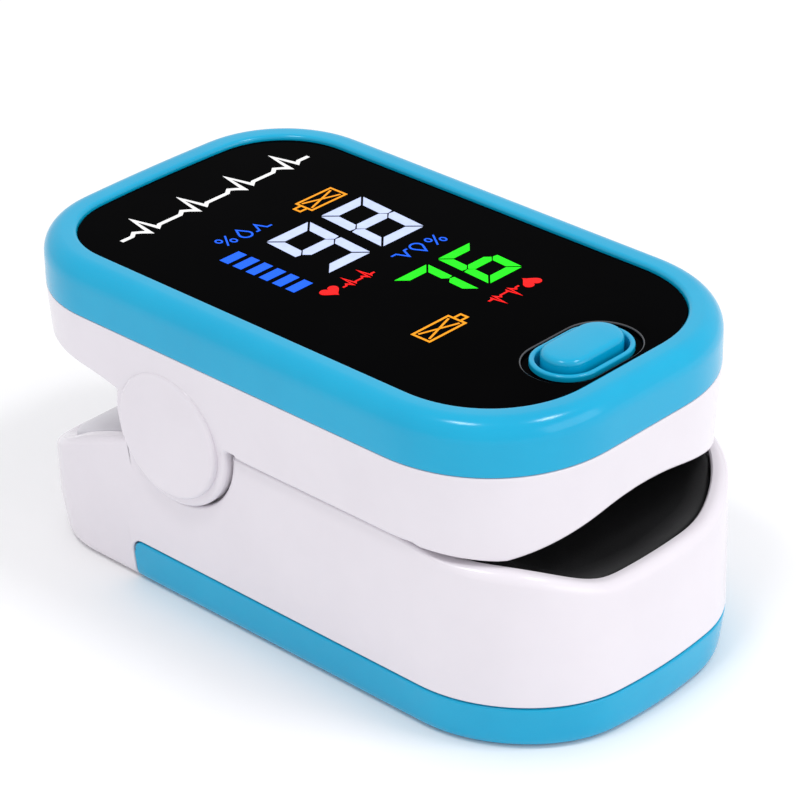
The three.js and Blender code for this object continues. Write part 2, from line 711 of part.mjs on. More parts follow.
// ---- the assembly ----
part("top_bezel", topBezel(), MATERIAL.blue);
part("display_window", displayWindow(), MATERIAL.blackGlass);
part("button_collar", buttonCollar(), MATERIAL.blue);
part("power_button", powerButton(), MATERIAL.blue);
part("display_module", displayModule(), MATERIAL.chip);
part("main_board", mainBoard(), MATERIAL.board);
part("tact_switch", tactSwitch(), MATERIAL.steel);
part("microcontroller", onBoard(-3.5, 3.5, -8.5, -1.5, 1.0), MATERIAL.chip);
part("board_connector", onBoard(-4.2, 4.2, 8.6, 12.0, 1.1), MATERIAL.cream);
part("upper_shell", upperShell(), MATERIAL.white);
part("upper_finger_pad", upperFingerPad(), MATERIAL.silicone);
part("emitter_board", sensorPlate(ROOF.low + 0.1, ROOF.low + 0.9), MATERIAL.board);
part("emitter_window", lensBlock(21.7, ROOF.low - 0.1), MATERIAL.clear);
part("lower_shell", lowerShell(), MATERIAL.white);
part("lower_frame", lowerFrame(), MATERIAL.grey);
part("lower_finger_pad", lowerFingerPad(), MATERIAL.silicone);
part("sensor_board", sensorPlate(DIVIDER.low + 0.05, DIVIDER.low + 0.85), MATERIAL.board);
part("photodiode", photodiode(), MATERIAL.chip);
part("sensor_window", lensBlock(DIVIDER.low + 1.6, 14.7), MATERIAL.clear);
const axle = cylinderX(AXLE.radius, -AXLE.half, AXLE.half, HINGE.y, HINGE.z, 24);
part("hinge_axle", axle, MATERIAL.steel);
part("flex_cable", flexCable(), MATERIAL.flex);
for (const [side, name] of [[-1, "left"], [1, "right"]]) {
  part("hinge_cap_" + name, hingeCap(side), MATERIAL.white);
  part("torsion_spring_" + name, wireAlong(new SpringPath(side), SPRING.wire, 64), MATERIAL.steel);
  part("battery_" + name, cell(side), MATERIAL.cell);
  part("upper_screw_" + name, screw(side * UPPER_SCREW.x, UPPER_SCREW.y, 23.35, 4.6), MATERIAL.steel);
  part("lower_screw_" + name, screw(side * LOWER_SCREW.x, LOWER_SCREW.y, 2.15, 7), MATERIAL.steel);
}
part("battery_bridge_contact", contactPlate(-9.5, 9.5, BAY.front + 0.1, BAY.front + 0.5), MATERIAL.steel);
part("battery_front_spring", coilContact(CELL.x, BAY.front + 0.9, 1, 1.3), MATERIAL.steel);
part("battery_plate_contact", contactPlate(CELL.x - 3.6, CELL.x + 3.6, 22.1, 22.5), MATERIAL.steel);
part("battery_rear_spring", coilContact(-CELL.x, 24.1, -1, 2.1), MATERIAL.steel);
part("battery_cover", batteryCover(), MATERIAL.blue);

const root = new THREE.Group();
root.add(oximeter);

export default root;
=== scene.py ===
# Fingertip pulse oximeter: the looks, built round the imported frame.
# Pieces are drawn in millimetres in the jaw's own frame, with +Z up and the finger coming in from -Y.
import math

import bmesh
import bpy
import numpy as np
from mathutils import Matrix, Vector


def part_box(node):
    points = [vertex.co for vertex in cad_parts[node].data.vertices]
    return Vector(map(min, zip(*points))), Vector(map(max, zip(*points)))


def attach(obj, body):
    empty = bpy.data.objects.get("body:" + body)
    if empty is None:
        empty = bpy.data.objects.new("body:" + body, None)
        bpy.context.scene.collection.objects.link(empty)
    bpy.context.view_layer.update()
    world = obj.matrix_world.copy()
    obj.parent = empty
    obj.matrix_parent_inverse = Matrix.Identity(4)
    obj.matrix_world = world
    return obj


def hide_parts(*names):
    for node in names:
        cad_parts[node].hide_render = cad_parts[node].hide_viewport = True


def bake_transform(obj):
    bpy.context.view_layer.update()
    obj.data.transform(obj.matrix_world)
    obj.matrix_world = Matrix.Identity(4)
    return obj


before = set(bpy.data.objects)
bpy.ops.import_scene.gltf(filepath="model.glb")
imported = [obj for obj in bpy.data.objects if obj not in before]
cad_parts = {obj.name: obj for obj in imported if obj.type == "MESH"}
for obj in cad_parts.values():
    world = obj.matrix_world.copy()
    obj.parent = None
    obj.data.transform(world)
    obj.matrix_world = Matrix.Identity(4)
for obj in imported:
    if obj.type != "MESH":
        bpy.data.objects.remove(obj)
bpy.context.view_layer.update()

MM = 0.001
AXLE_LOW, AXLE_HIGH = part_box("hinge_axle")
HINGE_Y, HINGE_Z = 9.3, 18.2
SHIFT_Y = (AXLE_LOW.y + AXLE_HIGH.y) / 2 / MM - HINGE_Y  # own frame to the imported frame

# Driving dimensions.
BEZEL_LOW, BEZEL_TOP = 26.5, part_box("top_bezel")[1].z / MM
RIM_WIDTH = 2.965
WINDOW_LOW, WINDOW_TOP = 29.95, 30.95
SHELF = {"inner": 4.3, "low": 28.9, "top": 29.7}  # ledge under the window's edge
KEY_Y = -22.8
KEY, COLLAR, KEY_HOLE = (8.4, 4.4), (10.2, 6.4), (12.05, 7.35)  # length and width of each slot
UPPER_CORNERS, LOWER_CORNERS = (13.2, 10.4), (10.8, 7.5)  # radius at the front and at the rear
PARTING_SIDE, PARTING_CORNER = 18.8, 18.1
JAW_GAP = 0.4
ARCH_RISE, ARCH_SPAN = 2.75, 27  # finger opening in the upper casing
DIP_LOW, DIP_FLAT, DIP_HALF = 14.75, 4.2, 16.0  # finger opening in the lower casing
EAR_RADIUS, NOTCH_RADIUS, CAP_RADIUS = 6.9, 7.15, 6.0
CAP_OUTER, LUG_RADIUS = 18.0, 2.6
GRIP_START, GRIP_TOP = 15.9, 14.9
HINGE_ROOF, BAY_ROOF, BAY_TOP = 21.4, 23.0, 24.2  # undersides and floor in the upper casing
DIVIDER_LOW, DIVIDER_TOP = 12.1, 13.1
COVER_TOP, COVER_REAR, COVER_CORNER = 4.3, 16.0, 1.2
COVER_WALL, COVER_PLATE = 1.3, 1.1
SEAM = 0.16
WALL = 1.6
LIP_THIN = 0.3  # how much thinner the lower casing's lip is at the nose
CELL_X, CELL_Z, CELL_FRONT = 5.4, 6.55, -22.9
LENS_Y, LENS_HALF_X, LENS_HALF_Y = -9.0, 3.1, 2.6
UPPER_SCREW, LOWER_SCREW = (11.8, 25.0), (13.45, 21.0)

# ------------------------------------------------------------------ materials
MATERIALS = {}


def srgb(r, g, b):
    """A linear colour from 0-255 values."""
    return tuple(((c / 255 + 0.055) / 1.055) ** 2.4 if c > 10.3 else c / 255 / 12.92 for c in (r, g, b))


def new_material(name):
    material = bpy.data.materials.new(name)
    material.use_nodes = True
    nodes = material.node_tree.nodes
    nodes.clear()
    shader = nodes.new("ShaderNodeBsdfPrincipled")
    output = nodes.new("ShaderNodeOutputMaterial")
    material.node_tree.links.new(shader.outputs[0], output.inputs[0])
    MATERIALS[name] = material
    return material, shader


def noise(tree, scale, detail=3.0, roughness=0.55, stretch=(1, 1, 1)):
    """A noise value over the object's own coordinates, scale in cycles per metre."""
    where = tree.nodes.new("ShaderNodeTexCoord")
    mapping = tree.nodes.new("ShaderNodeMapping")
    mapping.inputs["Scale"].default_value = stretch
    texture = tree.nodes.new("ShaderNodeTexNoise")
    texture.inputs["Scale"].default_value = scale
    texture.inputs["Detail"].default_value = detail
    texture.inputs["Roughness"].default_value = roughness
    tree.links.new(where.outputs["Object"], mapping.inputs["Vector"])
    tree.links.new(mapping.outputs[0], texture.inputs["Vector"])
    return texture.outputs["Fac"]


def ramp(tree, value, low, high, low_at=0.3, high_at=0.7):
    """A colour that goes from low to high as value does."""
    node = tree.nodes.new("ShaderNodeValToRGB")
    node.color_ramp.elements[0].position = low_at
    node.color_ramp.elements[1].position = high_at
    node.color_ramp.elements[0].color = (*low, 1)
    node.color_ramp.elements[1].color = (*high, 1)
    tree.links.new(value, node.inputs[0])
    return node.outputs[0]


def spread(tree, value, low, high):
    """value, from 0-1, as low-high."""
    node = tree.nodes.new("ShaderNodeMapRange")
    node.inputs["From Min"].default_value = 0.3
    node.inputs["From Max"].default_value = 0.7
    node.inputs["To Min"].default_value = low
    node.inputs["To Max"].default_value = high
    tree.links.new(value, node.inputs["Value"])
    return node.outputs[0]


def bumped(tree, shader, layers):
    """Bump from layers of (value, depth in metres)."""
    normal = None
    for value, depth in layers:
        node = tree.nodes.new("ShaderNodeBump")
        node.inputs["Strength"].default_value = 1.0
        node.inputs["Distance"].default_value = depth
        tree.links.new(value, node.inputs["Height"])
        if normal is not None:
            tree.links.new(normal, node.inputs["Normal"])
        normal = node.outputs[0]
    tree.links.new(normal, shader.inputs["Normal"])


def surface(name, low, high, rough, grain, depth, blotch=90.0, stretch=(1, 1, 1), **constants):
    """Colour from low to high in soft blotches, roughness from rough[0] to rough[1], and a fine grain."""
    material, shader = new_material(name)
    tree = material.node_tree
    broad = noise(tree, blotch, 4.0, 0.6, stretch)
    fine = noise(tree, grain, 3.0, 0.6, stretch)
    waves = noise(tree, grain * 0.08, 2.0, 0.5, stretch)
    tree.links.new(ramp(tree, broad, low, high), shader.inputs["Base Color"])
    tree.links.new(spread(tree, fine, *rough), shader.inputs["Roughness"])
    bumped(tree, shader, [(fine, depth), (waves, depth * 2.5)])
    for socket, value in constants.items():
        shader.inputs[socket.replace("_", " ")].default_value = value
    return material


def plastic(name, low, high, rough, depth=1.2e-6, grain=5200.0, **constants):
    return surface(name, low, high, rough, grain, depth, **constants)


WHITE = plastic(
    "white_casing", (0.755, 0.715, 0.765), (0.79, 0.75, 0.80), (0.16, 0.23),
    Subsurface_Weight=0.05, Subsurface_Radius=(1, 0.9, 0.9), Subsurface_Scale=0.0006,
)
BLUE = plastic(
    "blue_casing", (0.0, 0.355, 0.60), (0.001, 0.39, 0.64), (0.14, 0.21), Specular_IOR_Level=0.38,
)
GREY = plastic("grey_casing", (0.57, 0.55, 0.60), (0.62, 0.60, 0.65), (0.28, 0.36))
WINDOW = surface(
    "black_window", (0.0003, 0.0003, 0.0004), (0.0006, 0.0006, 0.0008), (0.035, 0.07), 900.0, 2e-7,
    IOR=1.035,
)
# Painted highlight: the chamfer round the window's key hole is coloured lighter grey than the black window,
# so that it shows as a bright edge line.
WINDOW_EDGE_PAINTED_HIGHLIGHT = surface("window_edge_painted_highlight", (0.05, 0.05, 0.055), (0.09, 0.09, 0.10), (0.25, 0.4), 4000.0, 1e-6)
SILICONE = surface(
    "black_silicone", (0.0065, 0.0065, 0.007), (0.011, 0.011, 0.012), (0.46, 0.62), 9000.0, 3.5e-6,
    Specular_IOR_Level=0.34,
)
LENS = surface(
    "clear_lens", (0.16, 0.02, 0.02), (0.22, 0.03, 0.03), (0.05, 0.12), 3000.0, 6e-7, Coat_Weight=0.5,
)
BOARD = surface("circuit_board", (0.01, 0.085, 0.045), (0.016, 0.12, 0.065), (0.3, 0.5), 1500.0, 6e-6)
CHIP = surface("dark_component", (0.012, 0.012, 0.013), (0.022, 0.022, 0.024), (0.45, 0.6), 9000.0, 3e-6)
MODULE = surface("display_body", (0.02, 0.02, 0.022), (0.035, 0.035, 0.037), (0.35, 0.5), 6000.0, 3e-6)
CREAM = surface("light_component", (0.66, 0.62, 0.53), (0.73, 0.69, 0.6), (0.4, 0.5), 6000.0, 3e-6)
STEEL = surface(
    "steel", (0.46, 0.465, 0.475), (0.60, 0.605, 0.62), (0.18, 0.34), 3800.0, 2.5e-6,
    blotch=260.0, stretch=(0.25, 1.6, 1.6), Metallic=1.0,
)
JACKET = surface(
    "cell_jacket", (0.03, 0.033, 0.038), (0.045, 0.05, 0.056), (0.2, 0.3), 2600.0, 2e-6, Coat_Weight=0.3,
)
BAND = surface("cell_band", (0.60, 0.33, 0.12), (0.70, 0.41, 0.17), (0.2, 0.3), 2600.0, 2e-6, Metallic=0.7)


def flex_material():
    """Amber film with copper tracks along it."""
    material, shader = new_material("flex_film")
    tree = material.node_tree
    where = tree.nodes.new("ShaderNodeTexCoord")
    tracks = tree.nodes.new("ShaderNodeTexWave")
    tracks.bands_direction = "X"
    tracks.inputs["Scale"].default_value = 430.0
    tracks.inputs["Distortion"].default_value = 0.0
    tree.links.new(where.outputs["Object"], tracks.inputs["Vector"])
    colour = ramp(tree, tracks.outputs["Fac"], (0.36, 0.14, 0.025), (0.62, 0.30, 0.10), 0.45, 0.6)
    tree.links.new(colour, shader.inputs["Base Color"])
    fine = noise(tree, 5000.0)
    tree.links.new(spread(tree, fine, 0.25, 0.4), shader.inputs["Roughness"])
    bumped(tree, shader, [(tracks.outputs["Fac"], 1.5e-5), (fine, 1e-6)])
    return material


FLEX = flex_material()


def mark(name, colour, strength=1.0):
    """A lit mark behind the window: the colour glows, a little uneven from place to place."""
    material, shader = new_material(name)
    tree = material.node_tree
    cells = noise(tree, 1400.0, 2.0)
    dim = tuple(c * 0.93 for c in colour)
    glow = ramp(tree, cells, dim, colour)
    tree.links.new(glow, shader.inputs["Emission Color"])
    shader.inputs["Emission Strength"].default_value = strength
    dark = tuple(c * 0.25 for c in colour)
    tree.links.new(ramp(tree, cells, tuple(c * 0.8 for c in dark), dark), shader.inputs["Base Color"])
    tree.links.new(spread(tree, cells, 0.3, 0.4), shader.inputs["Roughness"])
    bumped(tree, shader, [(cells, 4e-7)])
    shader.inputs["Specular IOR Level"].default_value = 0.1
    return material


MARKS = {
    "white_mark": mark("white_mark", srgb(250, 250, 250), 0.85),
    "lavender_mark": mark("lavender_mark", srgb(201, 214, 252), 0.95),
    "blue_mark": mark("blue_mark", srgb(6, 98, 255)),
    "green_mark": mark("green_mark", srgb(22, 250, 6)),
    "red_mark": mark("red_mark", srgb(255, 0, 0)),
    "amber_mark": mark("amber_mark", srgb(255, 160, 12)),
}

# ------------------------------------------------------------------ mesh tools


class Shape:
    """Vertices in mm in the jaw's own frame, and faces with a material number."""

    def __init__(self):
        self.points = []
        self.faces = []
        self.paint = []

    def add(self, points):
        start = len(self.points)
        self.points.extend(tuple(map(float, p)) for p in points)
        return list(range(start, len(self.points)))

    def face(self, corners, paint=0):
        clean = [c for i, c in enumerate(corners) if c != corners[i - 1]]
        if len(clean) > 2:
            self.faces.append(clean)
            self.paint.append(paint)

    def band(self, a, b, closed=True, paint=0):
        """Quads between two rows of equal length."""
        for i in range(len(a) if closed else len(a) - 1):
            j = (i + 1) % len(a)
            self.face([a[i], a[j], b[j], b[i]], paint)

    def half_band(self, a, b, k0, k1):
        """Quads between two rings, from column k0 to k1 of the right half and the same on the left."""
        n = len(a)
        for k in range(k0, k1):
            self.face([a[k], a[k + 1], b[k + 1], b[k]])
            i, j = (n - k - 1) % n, (n - k) % n
            self.face([a[i], a[j], b[j], b[i]])

    def cap(self, ring, breaks=(), end=None):
        """Flat faces across a ring, split at these columns, as far as the end column."""
        n = len(ring)
        ends = [0, *breaks, n // 2 if end is None else end]
        for k0, k1 in zip(ends, ends[1:]):
            right = [ring[k] for k in range(k0, k1 + 1)]
            left = [ring[(n - k) % n] for k in range(k1, k0 - 1, -1)]
            corners = right + [c for c in left if c not in right]
            self.face(corners)


def piece(name, shape, materials, body, replaces=(), sharp=32, weighted=True):
    """Makes the mesh, shaded smoothly except over edges sharper than an angle, and lets it ride on a body."""
    points = np.array(shape.points)
    points[:, 1] += SHIFT_Y
    mesh = bpy.data.meshes.new(name)
    mesh.from_pydata((points * MM).tolist(), [], shape.faces)
    for material_of in materials if isinstance(materials, list) else [materials]:
        mesh.materials.append(material_of)
    mesh.polygons.foreach_set("material_index", shape.paint)
    work = bmesh.new()
    work.from_mesh(mesh)
    bmesh.ops.remove_doubles(work, verts=work.verts, dist=2e-7)
    bmesh.ops.dissolve_degenerate(work, edges=work.edges, dist=1e-7)
    bmesh.ops.delete(work, geom=[v for v in work.verts if not v.link_faces], context="VERTS")
    bmesh.ops.recalc_face_normals(work, faces=work.faces)
    for f in work.faces:
        f.smooth = True
    work.to_mesh(mesh)
    work.free()
    mesh.set_sharp_from_angle(angle=math.radians(sharp))
    obj = bpy.data.objects.new(name, mesh)
    bpy.context.scene.collection.objects.link(obj)
    if weighted:
        normals = obj.modifiers.new("even_shading", "WEIGHTED_NORMAL")
        normals.keep_sharp = True
        normals.weight = 60
    if body:
        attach(obj, body)
    if replaces:
        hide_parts(*replaces)
    return obj


class Skin:
    """Columns of points round a rounded outline, evaluated at any inset and height."""

    POWER = 2.12

    def __init__(self, sizes, front_corner, rear_corner, side_y, corner_steps=22, end_steps=7):
        self.sizes = sizes
        rows = []
        power = 2 / self.POWER
        for k in range(end_steps):
            rows.append((k / end_steps, -1, 0, 0, -1, front_corner))
        for k in range(corner_steps + 1):
            turn = math.pi / 2 * k / corner_steps
            rows.append((1, -1, 0, math.sin(turn) ** power, -abs(math.cos(turn)) ** power, front_corner))
        self.side0 = len(rows)
        for y in side_y:
            rows.append((1, 0, y, 1, 0, front_corner))
        self.side1 = len(rows)
        for k in range(corner_steps + 1):
            turn = math.pi / 2 * k / corner_steps
            rows.append((1, 1, 0, abs(math.cos(turn)) ** power, math.sin(turn) ** power, rear_corner))
        for k in range(end_steps - 1, -1, -1):
            rows.append((k / end_steps, 1, 0, 0, 1, rear_corner))
        self.fx, self.mode, self.y, self.ax, self.ay, self.radius = np.array(rows, float).T
        self.count = len(rows)

    def half(self, inset, z, y=None):
        z = np.broadcast_to(np.asarray(z, float), self.count)
        half, front, rear, nose, tail, extra = self.sizes(z)
        d = np.broadcast_to(np.asarray(inset, float), self.count) + extra
        r = np.maximum(self.radius - d, 0.8)
        end = np.where(self.mode < 0, front, rear)
        x = self.fx * (half - d - r) + r * self.ax
        side_y = self.y if y is None else y
        yy = np.where(self.mode == 0, side_y, self.mode * (end - d - r) + r * self.ay)
        reach = np.where(yy < 0, front, rear) - d
        yy = yy + (1 - (x / (half - d)) ** 2) * np.abs(yy) / reach * np.where(yy < 0, -nose, tail)
        return np.stack([x, yy, z], 1)

    def ring(self, inset, z, y=None):
        return mirrored(self.half(inset, z, y))


def mirrored(half):
    """The whole ring from its right half, front centre to rear centre."""
    return np.vstack([half, half[-2:0:-1] * (-1, 1, 1)])


def rounding(radius, steps):
    """(distance back from the edge, inset) round a quarter circle, from the outer face to the flat."""
    for k in range(steps + 1):
        turn = math.pi / 2 * k / steps
        yield radius * (1 - math.sin(turn)), radius * (1 - math.cos(turn))


def outward(y, z, side0, side1, down):
    """Directions in (y, z) out of the material: square to the boundary on the sides, upright elsewhere."""
    ny, nz = np.zeros(len(y)), np.full(len(y), -1.0 if down else 1.0)
    ty, tz = np.gradient(y[side0:side1]), np.gradient(z[side0:side1])
    length = np.hypot(ty, tz) + 1e-9
    sign = 1 if down else -1
    ny[side0:side1], nz[side0:side1] = sign * tz / length, -sign * ty / length
    return ny, nz


def slot_ring(size, inset, z, steps=28):
    """A pill-shaped ring along X, about the key."""
    length, width = size
    r, reach = width / 2 - inset, (length - width) / 2
    points = []
    for side in (1, -1):
        for k in range(steps + 1):
            turn = (k / steps - 0.5) * math.pi
            points.append((side * (reach + r * math.cos(turn)), KEY_Y + side * r * math.sin(turn), z))
    return points


def disc_ring(radius, x, y, z, axis, steps=72):
    """A circle about an axis through (x, y, z)."""
    turns = np.arange(steps) / steps * 2 * math.pi
    a, b, flat = radius * np.cos(turns), radius * np.sin(turns), np.zeros(steps)
    offset = {"x": (flat, a, b), "y": (a, flat, b), "z": (a, b, flat)}[axis]
    return np.stack(offset, 1) + (x, y, z)


def joined(shape, rings, closed=False):
    """Bands between successive rings, and from the last back to the first when the section is closed."""
    rows = [shape.add(ring) for ring in rings]
    for a, b in zip(rows, rows[1:] + (rows[:1] if closed else [])):
        shape.band(a, b)
    return rows


def solid(shape, rings):
    """Rings joined into a body with flat ends."""
    rows = joined(shape, rings)
    shape.face(rows[0])
    shape.face(rows[-1])


def lathe(shape, profile, axis, steps=64, paint=None):
    """Rings of (radius, centre) joined; the ends are closed flat."""
    paint = paint or [0] * (len(profile) - 1)
    rings = [shape.add(disc_ring(r, *c, axis, steps)) for r, c in profile]
    for a, b, colour in zip(rings, rings[1:], paint):
        shape.band(a, b, paint=colour)
    shape.face(rings[0], paint[0])
    shape.face(rings[-1], paint[-1])


def tube(shape, path, radius, steps=12):
    """A round wire along a path, with flat ends."""
    path = np.array(path, float)
    tangent = np.gradient(path, axis=0)
    tangent /= np.linalg.norm(tangent, axis=1)[:, None]
    across = np.cross(tangent[0], (1.0, 0.31, 0.17))
    across /= np.linalg.norm(across)
    turns = np.arange(steps) / steps * 2 * math.pi
    rings = []
    for p, t in zip(path, tangent):
        across = across - t * (across @ t)
        across /= np.linalg.norm(across)
        other = np.cross(t, across)
        rings.append(p + radius * (np.outer(np.cos(turns), across) + np.outer(np.sin(turns), other)))
    solid(shape, rings)


def bevelled_box(shape, x0, x1, y0, y1, z0, z1, edge=0.15):
    """A block whose upright and top edges are rounded."""
    def ring(inset, z):
        r = max(edge - inset, 0.02)
        points = []
        for sx, sy, start in ((1, 1, 0), (-1, 1, 90), (-1, -1, 180), (1, -1, 270)):
            for k in range(4):
                turn = math.radians(start + 30 * k)
                cx = (x1 - edge) if sx > 0 else (x0 + edge)
                cy = (y1 - edge) if sy > 0 else (y0 + edge)
                points.append((cx + r * math.cos(turn), cy + r * math.sin(turn), z))
        return points

    levels = [(edge * 0.7, z0), (0, z0 + edge * 0.7)]
    levels += [(inset, z1 - back) for back, inset in rounding(edge * 0.9, 3)]
    solid(shape, [ring(inset, z) for inset, z in levels])


# ------------------------------------------------------------------ the two jaws' outlines
def upper_sizes(z):
    draft = 0.5 * np.clip((BEZEL_LOW - z) / (BEZEL_LOW - PARTING_SIDE), 0, 1.2)
    return 18.0, 30.0, 30.0, 0.0, 0.7, draft


def lower_sizes(z):
    up = np.maximum(z - COVER_TOP, 0) / (PARTING_SIDE - COVER_TOP)
    down = np.maximum(COVER_TOP - z, 0) / COVER_TOP
    return 16.6 + 0.25 * up - 0.45 * down, 30 - 0.4 * down, 30 - 0.4 * down, 2.7 - 0.9 * up, 0.5, 0.0


def foot(z):
    """How far the lower jaw's skin draws in over its lowest millimetre."""
    low = np.clip(1 - np.asarray(z, float), 0, 1)
    return 0.9 * (1 - np.sqrt(1 - low**2))


def parting(y, side, corner):
    return corner + (side - corner) * np.clip((y + 26) / 9, 0, 1)


def smooth(t):
    t = np.clip(t, 0, 1)
    return t * t * (3 - 2 * t)


def tab_line(y):
    """Underside of the upper grip: it rises quickly behind the ears, then levels off."""
    return 20.3 + 1.5 * (1 - np.exp(-(np.asarray(y, float) - GRIP_START) / 5.0))


def grip_top(y):
    """Top of the lower grip: level under the hinge, then falling more and more steeply."""
    past = np.asarray(y, float) - GRIP_START
    past = (past + np.sqrt(past**2 + 1)) / 2
    return GRIP_TOP - 0.3 * past - 0.011 * past**2


UPPER_SKIN = Skin(upper_sizes, *UPPER_CORNERS, np.linspace(-15.5, 18.2, 12))


# ------------------------------------------------------------------ bezel, window, collar and key
def top_bezel():
    shape = Shape()
    profile = [(0.14, BEZEL_LOW - 0.05), (0.04, BEZEL_LOW - 0.01), (0, BEZEL_LOW + 0.1)]
    profile += [(0, z) for z in (27.3, 28.2, 28.9)]
    for k in range(15):
        turn = math.pi / 2 * k / 14
        profile.append((1.75 * (1 - math.cos(turn)), BEZEL_TOP - 2.05 * (1 - math.sin(turn))))
    profile += [(2.2, BEZEL_TOP - 0.005), (2.55, BEZEL_TOP - 0.02)]
    for k in range(1, 7):
        turn = math.pi / 2 * k / 6
        profile.append((2.55 + 0.41 * math.sin(turn), BEZEL_TOP - 0.02 - 0.36 * (1 - math.cos(turn))))
    profile += [(RIM_WIDTH, 30.6), (RIM_WIDTH, SHELF["top"] + 0.02), (SHELF["inner"], SHELF["top"])]
    profile += [(SHELF["inner"], SHELF["low"]), (WALL, SHELF["low"]), (WALL, BEZEL_LOW - 0.05)]
    joined(shape, [UPPER_SKIN.ring(inset, z) for inset, z in profile], closed=True)
    x, y = UPPER_SCREW
    for side in (-1, 1):
        lathe(shape, [(1.9, (side * x, y, BAY_TOP + 0.2)), (1.9, (side * x, y, SHELF["low"] + 0.4))], "z", 28)
    piece("bezel", shape, BLUE, "upper_jaw", ["top_bezel"])


def display_window():
    shape = Shape()
    inset, ledge = 3.0, WINDOW_TOP - 0.35
    outer = [(0.06, WINDOW_LOW), (0, WINDOW_LOW + 0.06), (0, WINDOW_TOP - 0.1)]
    outer += [(0.03, WINDOW_TOP - 0.04), (0.1, WINDOW_TOP)]
    rings = joined(shape, [UPPER_SKIN.ring(inset + d, z) for d, z in outer])
    hole = [(0, WINDOW_TOP), (0.09, WINDOW_TOP - 0.05), (0.11, WINDOW_TOP - 0.12), (0.11, ledge)]
    hole += [(1.0, ledge), (1.0, WINDOW_LOW)]
    slots = [shape.add(slot_ring(KEY_HOLE, d, z)) for d, z in hole]
    for i, (a, b) in enumerate(zip(slots, slots[1:])):
        # the top two bands of the hole, its chamfer, take the lighter grey painted highlight colour
        shape.band(a, b, paint=1 if i < 2 else 0)
    fill_with_holes(shape, rings[-1], [slots[0]])
    fill_with_holes(shape, rings[0], [slots[-1]])
    piece("window", shape, [WINDOW, WINDOW_EDGE_PAINTED_HIGHLIGHT], "upper_jaw", ["display_window"], 25)


def button_collar():
    shape = Shape()
    low, top, wall = 29.0, 31.15, 0.5
    edge = list(rounding(0.2, 5))
    profile = [(0, low), (0, top - 0.3)]
    profile += [(inset, top - back) for back, inset in edge]
    profile += [(wall - inset, top - back) for back, inset in edge[::-1]]
    profile += [(wall, low)]
    joined(shape, [slot_ring(COLLAR, inset, z) for inset, z in profile], closed=True)
    piece("collar", shape, BLUE, "upper_jaw", ["button_collar"])


def power_button():
    shape = Shape()
    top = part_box("power_button")[1].z / MM
    flange = 0.8
    profile = [(-flange, 28.1), (-flange, 28.75), (-0.05, 28.75), (0, 29.0), (0, top - 1.0)]
    for turn in np.linspace(0.1, 1.45, 9):
        profile.append((0.6 * (1 - math.cos(turn)), top - 0.08 - 0.55 * (1 - math.sin(turn))))
    profile += [(0.8, top - 0.055), (1.2, top - 0.025), (1.7, top - 0.005), (2.1, top)]
    solid(shape, [slot_ring(KEY, inset, z) for inset, z in profile])
    piece("key", shape, BLUE, "power_button", ["power_button"])


# ------------------------------------------------------------------ marks on the window
MARK_LOW, MARK_TOP = WINDOW_TOP + 0.002, WINDOW_TOP + 0.022


def prism(shape, outline_points):
    low = shape.add([(x, y, MARK_LOW) for x, y in outline_points])
    top = shape.add([(x, y, MARK_TOP) for x, y in outline_points])
    shape.band(low, top)
    shape.face(low)
    shape.face(top)


def stroke(shape, points, width, closed=False):
    """A line of even width with mitred corners."""
    p = np.array(points, float)
    n = len(p)
    sides = [[], []]
    for i in range(n):
        before = p[i - 1] if (closed or i) else p[i]
        after = p[(i + 1) % n] if (closed or i < n - 1) else p[i]
        a = p[i] - before
        b = after - p[i]
        a = a / (np.linalg.norm(a) or 1)
        b = b / (np.linalg.norm(b) or 1)
        if not a.any():
            a = b
        if not b.any():
            b = a
        normal = np.array([-(a + b)[1], (a + b)[0]])
        normal /= np.linalg.norm(normal) or 1
        mitre = min(1 / max(normal @ np.array([-a[1], a[0]]), 0.35), 2.6)
        for s, sign in enumerate((1, -1)):
            sides[s].append(p[i] + sign * normal * mitre * width / 2)
    rows = []
    for z in (MARK_LOW, MARK_TOP):
        rows.append([shape.add([(x, y, z) for x, y in side]) for side in sides])
    (la, lb), (ta, tb) = rows
    shape.band(la, lb, closed)
    shape.band(ta, tb, closed)
    shape.band(la, ta, closed)
    shape.band(lb, tb, closed)
    if not closed:
        shape.face([la[0], ta[0], tb[0], lb[0]])
        shape.face([la[-1], ta[-1], tb[-1], lb[-1]])


# Which of the seven bars are lit: top, upper right, lower right, bottom, lower left, upper left, middle.
LIT = {"9": "1111011", "8": "1111111", "7": "1110000", "6": "1011111"}


def digit(shape, figure, x, y, width, height, thick, lean, gap):
    """A leaning seven-bar figure whose corner bars are pointed where they meet the middle one."""
    w, mid, t, g, h = width, height / 2, thick, gap, thick / 2
    near = g * 0.4
    top_bar = [(g, height), (w - g, height), (w - g - t, height - t), (g + t, height - t)]
    upper_left = [(0, height - g), (0, mid + g), (h, mid + near), (t, mid + h), (t, height - g - t)]
    lower_left = [(0, mid - g), (0, g), (t, g + t), (t, mid - h), (h, mid - near)]
    bottom_bar = [(g, 0), (w - g, 0), (w - g - t, t), (g + t, t)]
    middle = [(h + g, mid), (t + g, mid + h), (w - t - g, mid + h)]
    middle += [(w - h - g, mid), (w - t - g, mid - h), (t + g, mid - h)]
    upper_right = [(w, height - g), (w, mid + g), (w - h, mid + near)]
    upper_right += [(w - t, mid + h), (w - t, height - g - t)]
    lower_right = [(w, mid - g), (w, g), (w - t, g + t), (w - t, mid - h), (w - h, mid - near)]
    bars = [top_bar, upper_right, lower_right, bottom_bar, lower_left, upper_left, middle]
    for lit, bar in zip(LIT[figure], bars):
        if lit == "1":
            prism(shape, [(x + px + lean * py, y + py) for px, py in bar])


def turned(points, centre, half_turn):
    if not half_turn:
        return points
    return [(2 * centre[0] - x, 2 * centre[1] - y) for x, y in points]


